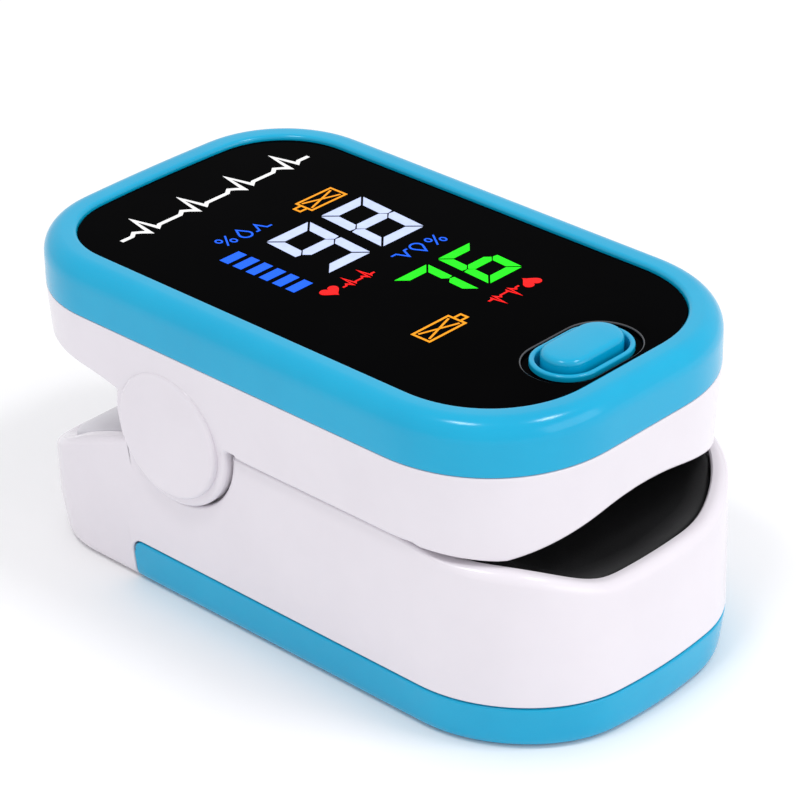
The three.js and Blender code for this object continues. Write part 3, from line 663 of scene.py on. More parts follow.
def heart(shape, x, y, size, half_turn=False):
    points = []
    for k in range(36):
        t = 2 * math.pi * k / 36
        hx = 16 * math.sin(t) ** 3
        hy = 13 * math.cos(t) - 5 * math.cos(2 * t) - 2 * math.cos(3 * t) - math.cos(4 * t)
        points.append((x + hx * size / 32, y + (hy + 2.5) * size / 34))
    prism(shape, turned(points, (x, y), half_turn))


def ellipse(x, y, rx, ry, steps=24):
    turns = [2 * math.pi * k / steps for k in range(steps)]
    return [(x + rx * math.cos(turn), y + ry * math.sin(turn)) for turn in turns]


def percent(shape, x, y, size, half_turn, centre):
    r = size * 0.2
    for cx, cy in ((x + r, y + size - r * 1.2), (x + size * 0.85, y + r * 1.2)):
        stroke(shape, turned(ellipse(cx, cy, r * 0.85, r * 1.05, 18), centre, half_turn), 0.16, True)
    stroke(shape, turned([(x + size * 0.2, y), (x + size * 0.9, y + size)], centre, half_turn), 0.17)


def droplet(shape, x, y, size, half_turn, centre):
    points = [(x, y + size)]
    for k in range(19):
        turn = math.radians(25 - k * (230 / 18))
        points.append((x + size * 0.33 * math.cos(turn), y + size * 0.33 + size * 0.33 * math.sin(turn)))
    stroke(shape, turned(points, centre, half_turn), 0.19, True)


def pulse(points_per_beat, x0, x1, y, height, beats):
    points = [(x0, y)]
    span = (x1 - x0) / beats
    for b in range(beats):
        for u, v in points_per_beat:
            points.append((x0 + (b + u) * span, y + v * height))
    points.append((x1, y))
    return points


PEAK = [(0.2, 0), (0.45, 0.8), (0.7, 0)]
BEAT = [(0.22, 0), (0.32, 0.16), (0.42, 0), (0.50, -0.18), (0.60, 0.82), (0.70, -0.12), (0.78, 0.0)]


def battery_icon(shape, x, y, length, height, flip):
    """An empty cell with a cross in it."""
    body = length * 0.83
    nub = length - body

    def at(px, py):
        return (x + (length - px if flip else px), y + py)

    stroke(shape, [at(0, 0), at(body, 0), at(body, height), at(0, height)], 0.23, True)
    low, high = height * 0.3, height * 0.7
    stroke(shape, [at(body, low), at(body + nub, low), at(body + nub, high), at(body, high)], 0.22)
    stroke(shape, [at(0.35, height - 0.35), at(body - 0.35, 0.35)], 0.2)
    stroke(shape, [at(0.35, 0.35), at(body - 0.35, height - 0.35)], 0.2)


def window_marks():
    made = {}

    def shape_of(name, colour):
        made[name] = (Shape(), colour)
        return made[name][0]

    title = shape_of("mark_pulse_line", "white_mark")
    stroke(title, pulse(BEAT, -11.6, 11.9, 20.75, 2.9, 4), 0.42)
    oxygen = shape_of("mark_oxygen_digits", "lavender_mark")
    for x, figure in ((-3.88, "9"), (2.98, "8")):
        digit(oxygen, figure, x, 2.83, 5.42, 8.3, 1.16, 0.085, 0.16)
    rate = shape_of("mark_rate_digits", "green_mark")
    for x, figure in ((-1.62, "7"), (3.98, "6")):
        digit(rate, figure, x, -8.92, 4.3, 6.5, 0.98, 0.07, 0.14)
    blue = shape_of("mark_level_bars", "blue_mark")
    for k in range(6):
        y = 2.5 + 1.62 * k
        prism(blue, [(-8.38, y), (-6.05, y), (-6.05, y + 1.04), (-8.38, y + 1.04)])
    labels = shape_of("mark_oxygen_labels", "blue_mark")
    percent(labels, -6.2, 13.1, 1.6, False, None)
    droplet(labels, -3.3, 12.95, 1.8, False, None)
    stroke(labels, pulse(PEAK, -2.3, -0.4, 13.2, 1.4, 1), 0.19)
    centre = (4.95, 0.25)
    percent(labels, 1.95, -0.55, 1.6, True, centre)
    droplet(labels, 4.9, -0.7, 1.8, True, centre)
    stroke(labels, turned(pulse(PEAK, 5.8, 7.8, -0.4, 1.4, 1), centre, True), 0.19)
    hearts = shape_of("mark_rate_labels", "red_mark")
    heart(hearts, -6.1, 0.15, 2.0)
    stroke(hearts, pulse(BEAT, -4.9, -1.0, 0.0, 1.5, 2), 0.2)
    heart(hearts, 6.6, -11.2, 2.0, True)
    stroke(hearts, turned(pulse(BEAT, 1.5, 5.4, -11.05, 1.5, 2), (3.45, -11.05), True), 0.2)
    cells = shape_of("mark_battery_icons", "amber_mark")
    battery_icon(cells, 3.15, 12.55, 5.3, 1.95, True)
    battery_icon(cells, -7.15, -12.2, 5.35, 1.95, False)
    for name, (shape, colour) in made.items():
        piece(name, shape, MARKS[colour], "upper_jaw", sharp=20, weighted=False)


# ------------------------------------------------------------------ upper casing
def upper_shell():
    turns = np.radians(np.concatenate([[175.2], np.linspace(182, 366, 42), [372, 377.7]]))
    ear_y, ear_z = HINGE_Y + EAR_RADIUS * np.cos(turns), HINGE_Z + EAR_RADIUS * np.sin(turns)
    before_y = np.array([-15.0, -12.5, -10, -7.5, -5, -2.5, -0.6, 1.0, 1.25, 1.9, 2.25])
    before_z = np.where(before_y > 1.1, PARTING_SIDE + 0.28, PARTING_SIDE)
    after_y = np.array([15.95, 16.6, 17.4, 18.3, 19.2])
    side_y = np.concatenate([before_y, ear_y, after_y])
    share = np.arange(len(ear_y)) / (len(ear_y) - 1)
    ear_top = 2.6 + (13.0 - 2.6) * (0.6 * share + 0.4 * smooth(share))
    after_top = 13.0 + (after_y - ear_y[-1]) / (19.6 - ear_y[-1]) * 6.6
    top_y = np.concatenate([before_y, ear_top, after_top])
    skin = Skin(upper_sizes, *UPPER_CORNERS, side_y, 26, 8)
    s0, s1, n = skin.side0, skin.side1, skin.count
    rest = skin.half(0, PARTING_SIDE)
    x0, y0 = rest[:, 0], rest[:, 1]
    arch = PARTING_CORNER + ARCH_RISE * np.cos(np.pi * np.clip(x0 / ARCH_SPAN, -0.5, 0.5))
    low = np.where(y0 < -20, np.maximum(parting(y0, PARTING_SIDE, PARTING_CORNER), arch), PARTING_SIDE)
    low = np.where(y0 > 15, tab_line(y0), low)
    low[s0:s1] = np.concatenate([before_z, ear_z, tab_line(after_y)])
    by = skin.y.copy()
    ty = by.copy()
    ty[s0:s1] = top_y
    ny, nz = outward(by, low, s0, s1, True)
    top, bay_rear = BEZEL_LOW - 0.08, 3.6
    r = np.full(n, 0.42)
    shape = Shape()
    # the roof of the jaw's inside, lower over the hinge and the rear tab
    over_hinge = np.where(y0 < 4.8, HINGE_ROOF, np.maximum(tab_line(y0) + 0.4, HINGE_ROOF))
    floor = np.where(y0 < bay_rear, BAY_ROOF, over_hinge)
    fy = by + (ty - by) * (floor - low) / (top - low)
    over_tab = np.maximum(tab_line(fy[s0:s1]) + 0.4, HINGE_ROOF)
    floor[s0:s1] = np.where(fy[s0:s1] < bay_rear, BAY_ROOF, over_tab)
    rings = [skin.ring(WALL, floor, fy)]
    rings.append(skin.ring(WALL, low - nz * 0.2, by - ny * 0.2))
    rings.append(skin.ring(WALL - 0.2, low, by))
    for back, inset in list(rounding(1.0, 6))[::-1]:
        rings.append(skin.ring(inset * r, low - nz * back * r, by - ny * back * r))
    start_y, start_z = by - ny * r, low - nz * r
    for g in (0.06, 0.14, 0.24, 0.36, 0.5, 0.64, 0.78, 0.9, 0.97):
        rings.append(skin.ring(0, start_z + (top - 0.1 - start_z) * g, start_y + (ty - start_y) * g))
    rings.append(skin.ring(0, top - 0.1, ty))
    rings.append(skin.ring(0.03, top - 0.03, ty))
    rings.append(skin.ring(0.1, top, ty))
    rings.append(skin.ring(WALL, top, ty))
    rings.append(skin.ring(WALL, BAY_TOP, ty))
    rows = joined(shape, rings)
    shape.cap(rows[-1])
    ring_y = rings[0][:n, 1]
    front = int(np.max(np.nonzero(ring_y < bay_rear)))
    rear = int(np.min(np.nonzero(ring_y > 15.9)))
    shape.cap(rows[0], [*range(front, rear + 1)])
    piece("upper_casing", shape, WHITE, "upper_jaw", ["upper_shell"])


def hinge_caps():
    for side, name in ((-1, "left"), (1, "right")):
        shape = Shape()
        profile = [(CAP_RADIUS - 0.1, 17.25), (CAP_RADIUS, 17.35), (CAP_RADIUS, 17.62)]
        profile += [(CAP_RADIUS - inset, CAP_OUTER - back) for back, inset in rounding(0.38, 6)]
        profile += [(5.2, CAP_OUTER), (3.0, CAP_OUTER), (1.2, CAP_OUTER)]
        lathe(shape, [(r, (side * x, HINGE_Y, HINGE_Z)) for r, x in profile], "x", 96)
        piece("cap_" + name, shape, WHITE, "upper_jaw", ["hinge_cap_" + name])


# ------------------------------------------------------------------ lower casing
def countersinks(shape):
    """The two screw holes in the underside; gives the ring of each mouth."""
    x, y = LOWER_SCREW
    levels = [(1.62, 0), (1.5, 0.12), (1.5, 2.2), (0.8, 2.2), (0.8, 3.5)]
    mouths = []
    for side in (1, -1):
        # a hair further in than the screw itself
        rings = joined(shape, [disc_ring(r, side * x * 0.995, y, z, "z", 28) for r, z in levels])
        mouths.append(rings[0])
        shape.face(rings[-1])
    return mouths


def bay_walls(shape):
    """The walls round the cells, which stop under the grip at the rear."""
    inner, outer = (11.2, -25.4, 24.6, 0.6), (12.0, -26.2, 25.4, 1.4)
    low, top = 1.35, DIVIDER_LOW + 0.2
    sizes = [(*inner, low), (11.85, -26.05, 25.25, 1.31, low), (*outer, 1.5), (*outer, top), (*inner, top)]
    joined(shape, [bay_ring(*size) for size in sizes], closed=True)


def lower_shell():
    turns = np.radians(np.linspace(178.4, 332.4, 38))
    notch_y, notch_z = HINGE_Y + NOTCH_RADIUS * np.cos(turns), HINGE_Z + NOTCH_RADIUS * np.sin(turns)
    before = np.array([-18.2, -17, -14.5, -12, -9.5, -7, -4.5, -2, 0, 1.3, 1.9])
    gap_z, gap_y, arc_r = COVER_TOP + SEAM, COVER_REAR + SEAM, COVER_CORNER + SEAM
    arc_y, arc_z = COVER_REAR - COVER_CORNER, COVER_TOP - COVER_CORNER
    arc = np.radians([90, 72, 54, 36, 18, 0])
    bottom_y = [*(arc_y + arc_r * np.cos(arc)), gap_y, gap_y, gap_y, gap_y, gap_y]
    bottom_z = [*(arc_z + arc_r * np.sin(arc)), 2.2, 1.0, 0.5, 0.15, 0.0]
    corner_tops = np.linspace(15.74, 17.4, len(bottom_y))
    rear = np.array([17.9, 18.6, 19.4, 20.2, 21.0, 21.8])
    side_y = np.concatenate([before, notch_y, corner_tops, rear])
    skin = Skin(lower_sizes, *LOWER_CORNERS, side_y, 26, 8)
    s0, s1, n = skin.side0, skin.side1, skin.count
    rest = skin.half(0, 17.0)
    x0, y0 = rest[:, 0], rest[:, 1]
    side_top, corner_top = PARTING_SIDE - JAW_GAP, PARTING_CORNER - JAW_GAP
    t = np.clip((x0 - DIP_FLAT) / (DIP_HALF - DIP_FLAT), 0, 1)
    dip = DIP_LOW + (corner_top - DIP_LOW) * (1 - np.cos(np.pi * t)) / 2
    edge_line = parting(y0, side_top, corner_top)
    high = edge_line - np.maximum(edge_line - dip, 0) * smooth((-19 - y0) / 4)
    high = np.where(y0 > 15.7, grip_top(y0), high)
    before_z = parting(before, side_top, corner_top)
    high[s0:s1] = np.concatenate([before_z, notch_z, grip_top(corner_tops), grip_top(rear)])
    ty = skin.y.copy()
    by = ty.copy()
    low = np.where(np.arange(n) < s1, gap_z, 0.0)
    first_corner = s0 + len(before) + len(notch_y)
    last = first_corner + len(bottom_y) - 1  # the last column on the battery cover's edge
    share = np.arange(len(notch_y)) / (len(notch_y) - 1)
    by[s0 + len(before) : first_corner] = 2.3 + (14.1 - 2.3) * share
    by[first_corner : last + 1] = bottom_y
    low[first_corner : last + 1] = bottom_z
    low[last + 1 :] = 0.0
    tny, tnz = outward(ty, high, s0, s1, False)
    bny, bnz = outward(by, low, s0, last + 1, True)
    bny[last], bnz[last] = -1.0, 0.0
    front_share = smooth((-y0 - 20) / 6)
    r = 0.3 + 0.7 * front_share + 0.45 * smooth((y0 - 15.5) / 2.5)
    thin = LIP_THIN * front_share
    edge = np.where(np.arange(n) <= last, SEAM, 0.0)
    shape = Shape()
    start_y, start_z = by - bny * edge, low - bnz * edge
    end_y, end_z = ty - tny * r, high - tnz * r

    def skin_ring(inset, z, y):
        return skin.ring(inset + foot(z), z, y)

    shares = (0, 0.006, 0.014, 0.026, 0.042, 0.062, 0.09, 0.14, 0.22, 0.34, 0.48, 0.62, 0.76, 0.88, 0.95, 1.0)
    rise, slant = end_z - start_z, end_y - start_y
    outer = joined(shape, [skin_ring(0, start_z + rise * g, start_y + slant * g) for g in shares])
    # the bottom edge, over the battery cover
    under = [outer[0]]
    for back, inset in list(rounding(SEAM, 4))[1:]:
        under.append(shape.add(skin_ring(inset, low - bnz * back, by - bny * back)))
    ledge = shape.add(skin.ring(2.2, low, by))
    under.append(ledge)
    for a, b in zip(under, under[1:]):
        shape.half_band(a, b, 0, last)
    deck = np.minimum(DIVIDER_TOP, grip_under(y0))
    deck[s0:s1] = np.minimum(DIVIDER_TOP, grip_under(ty[s0:s1]))
    roof = shape.add(skin.ring(2.2, np.minimum(DIVIDER_LOW, deck - 0.1), by))
    open_from = first_corner + len(bottom_y) + 1  # the deck ends here, short of the cells' rear ends
    plate = shape.add(skin.ring(2.2, 1.2, by))
    total = len(roof)
    shape.half_band(ledge, roof, 0, last - 1)
    shape.half_band(plate, roof, last, n - 1)
    for sign in (1, -1):
        j, i = (last * sign) % total, ((last - 1) * sign) % total
        shape.face([ledge[i], ledge[j], plate[j], roof[j], roof[i]])
    lj, rj = (-last) % total, last
    shape.face([ledge[rj], ledge[lj], plate[lj], plate[rj]])
    across = [u[lj] for u in under] + [u[rj] for u in under[::-1]]
    rear_ring = [outer[0][k] for k in range(last + 1, total - last)]
    fill_with_holes(shape, across + rear_ring, countersinks(shape))
    plate_rear = [plate[k] for k in range(last, total - last + 1)]
    shape.face(plate_rear)
    shape.cap(roof, end=open_from)
    # the top edge
    upper = [outer[-1]]
    for back, inset in list(rounding(1.0, 7))[1:]:
        upper.append(shape.add(skin.ring(inset * r, high - tnz * back * r, ty - tny * back * r)))
    upper.append(shape.add(skin.ring(1.62 - thin, high, ty)))
    upper.append(shape.add(skin.ring(1.76 - thin, high - tnz * 0.14, ty - tny * 0.14)))
    upper.append(shape.add(skin.ring(1.76 - thin, deck, ty)))
    for a, b in zip(upper, upper[1:]):
        shape.band(a, b)
    deck_y = skin.half(1.76, deck, ty)[:, 1]
    deck_front = int(np.max(np.nonzero(deck_y < 14)))
    shape.cap(upper[-1], [*range(deck_front, open_from)], end=open_from)
    shape.half_band(upper[-1], roof, open_from, n - 1)
    shape.face([upper[-1][open_from], upper[-1][-open_from], roof[-open_from], roof[open_from]])
    bay_walls(shape)
    piece("lower_casing", shape, WHITE, "lower_jaw", ["lower_shell"])


def grip_under(y):
    """The underside of the rear grip."""
    return grip_top(y) - 1.25


def bay_ring(half, y0, y1, radius, z, steps=6):
    """A rounded rectangle, no higher than the underside of the rear grip."""
    bend_y = 18.9  # a point on each side where the grip begins to fall
    points = [(half, bend_y)]
    front, rear = y0 + radius, y1 - radius
    for sx, cy, start in ((1, rear, 0), (-1, rear, 90), (-1, front, 180), (1, front, 270)):
        for k in range(steps + 1):
            turn = math.radians(start + 90 * k / steps)
            points.append((sx * (half - radius) + radius * math.cos(turn), cy + radius * math.sin(turn)))
        if start == 90:
            points.append((-half, bend_y))
    return [(x, y, min(z, float(grip_under(y)))) for x, y in points]


def fill_with_holes(shape, ring, holes):
    """Fills a flat outline round some holes."""
    work = bmesh.new()
    verts = {}
    for loop in (ring, *holes):
        for i in loop:
            if i not in verts:
                verts[i] = work.verts.new(shape.points[i])
    edges = []
    for loop in (ring, *holes):
        for a, b in zip(loop, loop[1:] + loop[:1]):
            if (verts[a].co - verts[b].co).length > 1e-9 and not work.edges.get((verts[a], verts[b])):
                edges.append(work.edges.new((verts[a], verts[b])))
    filled = bmesh.ops.triangle_fill(work, edges=edges, use_beauty=True)
    index = {v: i for i, v in verts.items()}
    for f in filled["geom"]:
        if isinstance(f, bmesh.types.BMFace):
            shape.face([index[v] for v in f.verts])
    work.free()


def battery_cover():
    top, rear, corner = COVER_TOP, COVER_REAR, COVER_CORNER
    arc = np.radians([90, 75, 60, 45, 30, 15, 0])
    straight = np.array([-18.2, -15, -11, -7, -3, 1, 5, 9, 12.5, 14.2])
    side_y = np.concatenate([straight, rear - corner + corner * np.cos(arc)])
    side_top = np.concatenate([np.full(len(straight), top), top - corner + corner * np.sin(arc)])
    skin = Skin(lower_sizes, *LOWER_CORNERS, side_y, 26, 8)
    s0, s1 = skin.side0, skin.side1
    end = s1 - 1
    high = np.full(skin.count, top)
    high[s0:s1] = side_top
    ty = skin.y
    ny, nz = outward(ty, high, s0, s1, False)
    ny[end], nz[end] = 0.97, 0.25
    r = 0.22
    shape = Shape()
    end_z, end_y = high - nz * r, ty - ny * r
    end_y = np.minimum(end_y, rear - 0.02)
    rings = []
    # the last column is set in a little, so that the upright end edge is rounded too
    tuck = np.zeros(skin.count)
    tuck[end] = 0.12
    for z in (0, 0.03, 0.1, 0.25, 0.5, 1.0, 2.0, 3.0):
        level = np.minimum(z, end_z)
        rings.append(skin.ring(foot(level) + tuck, level, ty))
    rings.append(skin.ring(tuck, end_z, end_y))
    for back, inset in list(rounding(r, 5))[1:]:
        rings.append(skin.ring(inset + tuck, high - nz * back, ty - ny * back))
    rings.append(skin.ring(COVER_WALL - 0.15, high, ty))
    rings.append(skin.ring(COVER_WALL, high - nz * 0.15, ty - ny * 0.15))
    rings.append(skin.ring(COVER_WALL, COVER_PLATE, ty))
    total = len(rings[0])
    rows = [shape.add(ring) for ring in rings]
    for a, b in zip(rows, rows[1:]):
        shape.half_band(a, b, 0, end)
    left = (-end) % total
    shape.face([row[end] for row in rows] + [row[left] for row in rows[::-1]])
    for row in (rows[-1], rows[0]):
        shape.face([row[k] for k in [*range(left, total), *range(0, end + 1)]])
    piece("cover", shape, BLUE, "battery_cover", ["battery_cover"])


# ------------------------------------------------------------------ pads, grip panel
def pad(name, node, sizes, radius, gap, edge_z, base_z, surface_z, body, lip=0.0, rear=3.3):
    """A silicone finger pad: a rolled rim, a hollow for the finger, and a well for the lens."""
    def pad_sizes(z):
        half, front, _, nose, _, extra = sizes(z)
        return half, front, rear + gap, nose, 0.0, extra

    side_y = np.linspace(-16, 0.2, 20)
    skin = Skin(pad_sizes, radius, 1.0 + gap, side_y, 20, 9)
    shape = Shape()
    up = 1 if edge_z > base_z else -1

    def height(points):
        return surface_z(points[:, 0], points[:, 1])

    thin = lip * smooth((-skin.half(gap, edge_z)[:, 1] - 20) / 6)
    start = gap - thin
    rim = height(skin.half(start, edge_z))
    rings = [skin.ring(start, base_z), skin.ring(start, (rim + base_z) / 2)]
    rim_levels = [(0.0, 0.75), (0.05, 0.6), (0.18, 0.46), (0.4, 0.33), (0.8, 0.18), (1.25, 0.07), (1.7, 0.0)]
    for inset, drop in rim_levels:
        ring = skin.half(start + inset, edge_z)
        ring[:, 2] = height(ring) - up * drop
        rings.append(mirrored(ring))
    rows = joined(shape, rings)
    shape.cap(rows[0])
    # cross rows over the hollow, on the columns of the last ring
    last = rings[-1]
    n, total = skin.count, len(last)
    steps = 44
    row_ids = []
    for k in range(1, n - 1):
        x, y = last[k][0], last[k][1]
        inner = np.array([(x * (1 - 2 * s / steps), y, 0.0) for s in range(1, steps)])
        inner[:, 2] = surface_z(inner[:, 0], inner[:, 1])
        ids = [rows[-1][k], *shape.add(inner), rows[-1][total - k]]
        row_ids.append(ids)
    for a, b in zip(row_ids, row_ids[1:]):
        shape.band(a, b, False)
    shape.face([rows[-1][0], *row_ids[0]])
    shape.face([rows[-1][n - 1], *row_ids[-1]])
    obj = piece(name, shape, SILICONE, body, [node], 50, False)
    return obj


def lens_ridge(x, y, half_x=4.2, half_y=3.7):
    """0 away from the lens, 1 on the raised frame round it, and a flat inside it."""
    d = np.maximum(np.abs(x) - half_x, np.abs(y - LENS_Y) - half_y)
    return np.exp(-((d / 0.45) ** 2))


def lower_surface(x, y):
    hollow = 17.8 - 3.0 * np.sqrt(np.clip(1 - (x / 12.2) ** 2, 0, 1))
    hollow = np.where(np.abs(x) > 12.2, 17.8, hollow)
    hollow = np.minimum(hollow, 17.55)
    stop = 2.6 * smooth((y - 0.9) / 1.6)
    return np.minimum(hollow + stop, 17.55) + 0.28 * lens_ridge(x, y)


def upper_surface(x, y):
    hollow = 18.2 + 3.4 * np.sqrt(np.clip(1 - (x / 12.6) ** 2, 0, 1))
    hollow = np.maximum(hollow, 18.95)
    stop = 2.6 * smooth((y - 0.9) / 1.6)
    return np.maximum(hollow - stop, 18.95) - 0.28 * lens_ridge(x, y)


def lenses():
    for name, node, low, top, body in (
        ("lens_lower", "sensor_window", 13.8, 15.02, "lower_jaw"),
        ("lens_upper", "emitter_window", 21.42, 22.9, "upper_jaw"),
    ):
        shape = Shape()
        front, rear = LENS_Y - LENS_HALF_Y, LENS_Y + LENS_HALF_Y
        bevelled_box(shape, -LENS_HALF_X, LENS_HALF_X, front, rear, low, top, 0.5)
        piece(name, shape, LENS, body, [node])


def lug(shape, x0, x1):
    """An upright plate with a round top that holds the axle."""
    foot_front, foot_rear, foot_z = 4.4, 14.2, 14.6
    turns = np.linspace(0, math.pi, 25)
    top = [(HINGE_Y + LUG_RADIUS * math.cos(a), HINGE_Z + LUG_RADIUS * math.sin(a)) for a in turns]
    rim = np.array([(foot_rear, foot_z), *top, (foot_front, foot_z)])
    centre = np.array([HINGE_Y, 16.6])
    ends = [(x0, 0.94), (x0 + 0.08, 0.985), (x0 + 0.2, 1), (x1 - 0.2, 1), (x1 - 0.08, 0.985), (x1, 0.94)]
    rings = [[(x, *(centre + (p - centre) * shrink)) for p in rim] for x, shrink in ends]
    solid(shape, rings)


def rear_panel():
    """The grey panel on the lower grip, with the lugs that hold the axle."""
    gap, front, thick = 1.92, 3.75, 1.05
    side_y = np.linspace(front, 22.2, 22)
    skin = Skin(lower_sizes, *LOWER_CORNERS, side_y, 24, 8)
    s0, n = skin.side0, skin.count

    def top_z(y):
        return grip_top(y) - 0.06

    shape = Shape()
    rings = []
    for inset, back in ((0.1, thick), (0, thick - 0.1), (0, 0.25), (0.04, 0.12), (0.12, 0.03), (0.3, 0.0)):
        half = skin.half(gap + inset, 14.5)
        half[:, 2] = top_z(half[:, 1]) - back
        half[: s0 + 1] = half[s0]
        rings.append(mirrored(half))
    rows = [shape.add(ring) for ring in rings]
    total = len(rows[0])
    for a, b in zip(rows, rows[1:]):
        shape.half_band(a, b, s0, n - 1)
    shape.face([row[s0] for row in rows] + [row[total - s0] for row in rows[::-1]])
    for row in (rows[0], rows[-1]):
        for k in range(s0, n - 2):
            shape.face([row[k], row[k + 1], row[(total - k - 1) % total], row[total - k]])
        shape.face([row[n - 2], row[n - 1], row[n]])
    lug(shape, -14.7, -12.4)
    lug(shape, 12.4, 14.7)
    piece("rear_panel", shape, GREY, "lower_jaw", ["lower_frame"], weighted=False)


# ------------------------------------------------------------------ hinge, springs, cable
def axle():
    shape = Shape()
    profile = [(0.75, -16.9), (1.0, -16.7), (1.0, -8), (1.0, 0), (1.0, 8), (1.0, 16.7), (0.75, 16.9)]
    lathe(shape, [(r, (x, HINGE_Y, HINGE_Z)) for r, x in profile], "x", 40)
    piece("axle", shape, STEEL, "lower_jaw", ["hinge_axle"])


def torsion_springs():
    mean, wire, turns, inner, pitch, leg = 2.3, 0.35, 4, 8.6, 0.85, 17.2
    for side, name in ((-1, "left"), (1, "right")):
        coil = []
        for k in range(181):
            share = k / 180
            turn = math.pi / 2 - share * (turns * 2 * math.pi + math.pi)
            x = side * (inner + share * turns * pitch)
            coil.append(np.array([x, HINGE_Y + mean * math.cos(turn), HINGE_Z + mean * math.sin(turn)]))
        first = np.array([side * inner, leg, HINGE_Z + mean + 0.35])
        final = np.array([side * (inner + turns * pitch), leg - 1.0, HINGE_Z - mean - 0.55])
        path = [first + (coil[0] - first) * k / 12 for k in range(12)]
        path += coil
        path += [coil[-1] + (final - coil[-1]) * k / 12 for k in range(1, 13)]
        shape = Shape()
        tube(shape, path, wire, 14)
        obj = piece("spring_" + name, shape, STEEL, None, ["torsion_spring_" + name], 60, False)
        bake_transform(obj)


def flex_cable():
    """A film that bulges to the rear between the jaws, along a smooth curve through its knots (y, z)."""
    knots = [[13.5, 14.4], [13.5, 16.2], [14.6, 18.4], [14.0, 20.6]]
    knots += [[13.5, 22.6], [13.5, 24.8], [13.2, 26.0], [12.5, 26.3]]
    knots = np.array(knots)
    padded = np.vstack([2 * knots[0] - knots[1], knots, 2 * knots[-1] - knots[-2]])
    points = []
    for t in np.linspace(0, len(knots) - 1, 60):
        i = min(int(t), len(knots) - 2)
        u = t - i
        a, b, c, d = padded[i : i + 4]
        square, cube = 2 * a - 5 * b + 4 * c - d, 3 * b - a - 3 * c + d
        points.append(0.5 * (2 * b + (c - a) * u + square * u**2 + cube * u**3))
    points = np.array(points)
    tangent = np.gradient(points, axis=0)
    tangent /= np.linalg.norm(tangent, axis=1)[:, None]
    normal = np.stack([-tangent[:, 1], tangent[:, 0]], 1) * 0.125
    shape = Shape()
    rows = []
    for x, thin in ((-3, 0.4), (-2.9, 1), (0, 1), (2.9, 1), (3, 0.4)):
        rows.append([
            shape.add([(x, *p) for p in points + normal * thin]),
            shape.add([(x, *p) for p in points - normal * thin]),
        ])
    for (a, b), (c, d) in zip(rows, rows[1:]):
        shape.band(a, c, False)
        shape.band(b, d, False)
    for edge in (rows[0], rows[-1]):
        shape.band(edge[0], edge[1], False)
    for i in (0, -1):
        shape.face([r[0][i] for r in rows] + [r[1][i] for r in rows[::-1]])
    obj = piece("flex", shape, FLEX, None, ["flex_cable"], 60, False)
    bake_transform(obj)


# ------------------------------------------------------------------ cells, contacts, screws
def cells():
    """Two cells side by side, the left one's nub to the front."""
    # radius, and distance from the flat end to the nub
    profile = [
        (4.2, 0.0), (4.6, 0.02), (4.85, 0.12), (4.95, 0.35), (5.15, 0.42), (5.2, 0.6), (5.2, 8.0),
        (5.2, 8.05), (5.2, 30.0), (5.2, 42.3), (5.16, 42.7), (4.9, 42.95), (4.5, 43.0), (4.35, 43.2),
        (2.1, 43.35), (1.95, 43.5), (1.9, 44.2), (1.7, 44.45), (1.4, 44.5),
    ]
    length = profile[-1][1]
    paint = [1, 1, 1, 1, 0, 2, 0, 0, 0, 0, 0, 0, 1, 1, 1, 1, 1, 1]
    for side, name in ((-1, "left"), (1, "right")):
        points = []
        for r, along in profile:
            y = CELL_FRONT + (along if side > 0 else length - along)
            points.append((r, (side * CELL_X, y, CELL_Z)))
        shape = Shape()
        lathe(shape, points, "y", 56, paint)
        materials = [JACKET, STEEL, BAND]
        piece("cell_" + name, shape, materials, "lower_jaw", ["battery_" + name], 40)


def coil_spring(name, node, x, y, direction, length):
    path = []
    for k in range(150):
        t = k / 149
        turn = t * math.pi * 6
        radius = 3.2 - 1.1 * t
        along = y + direction * length * t
        path.append((x + radius * math.cos(turn), along, CELL_Z + radius * math.sin(turn)))
    shape = Shape()
    tube(shape, path, 0.3, 12)
    piece(name, shape, STEEL, "lower_jaw", [node], 60, False)


def contact_plate(name, node):
    low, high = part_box(node)
    x0, x1, z0, z1 = low.x / MM, high.x / MM, low.z / MM, high.z / MM
    y0, y1 = low.y / MM - SHIFT_Y, high.y / MM - SHIFT_Y
    shape = Shape()
    radius = 0.8
    left, right, low_z, high_z = x0 + radius, x1 - radius, z0 + radius, z1 - radius
    corners = [(right, high_z, 0), (left, high_z, 90), (left, low_z, 180), (right, low_z, 270)]
    rings = []
    for inset, y in ((0.08, y0), (0, y0 + 0.08), (0, y1 - 0.08), (0.08, y1)):
        r = radius - inset
        ring = []
        for cx, cz, start in corners:
            turns = np.radians(start + 15.0 * np.arange(7))
            ring += [(cx + r * math.cos(turn), y, cz + r * math.sin(turn)) for turn in turns]
        rings.append(ring)
    solid(shape, rings)
    piece(name, shape, STEEL, "lower_jaw", [node])


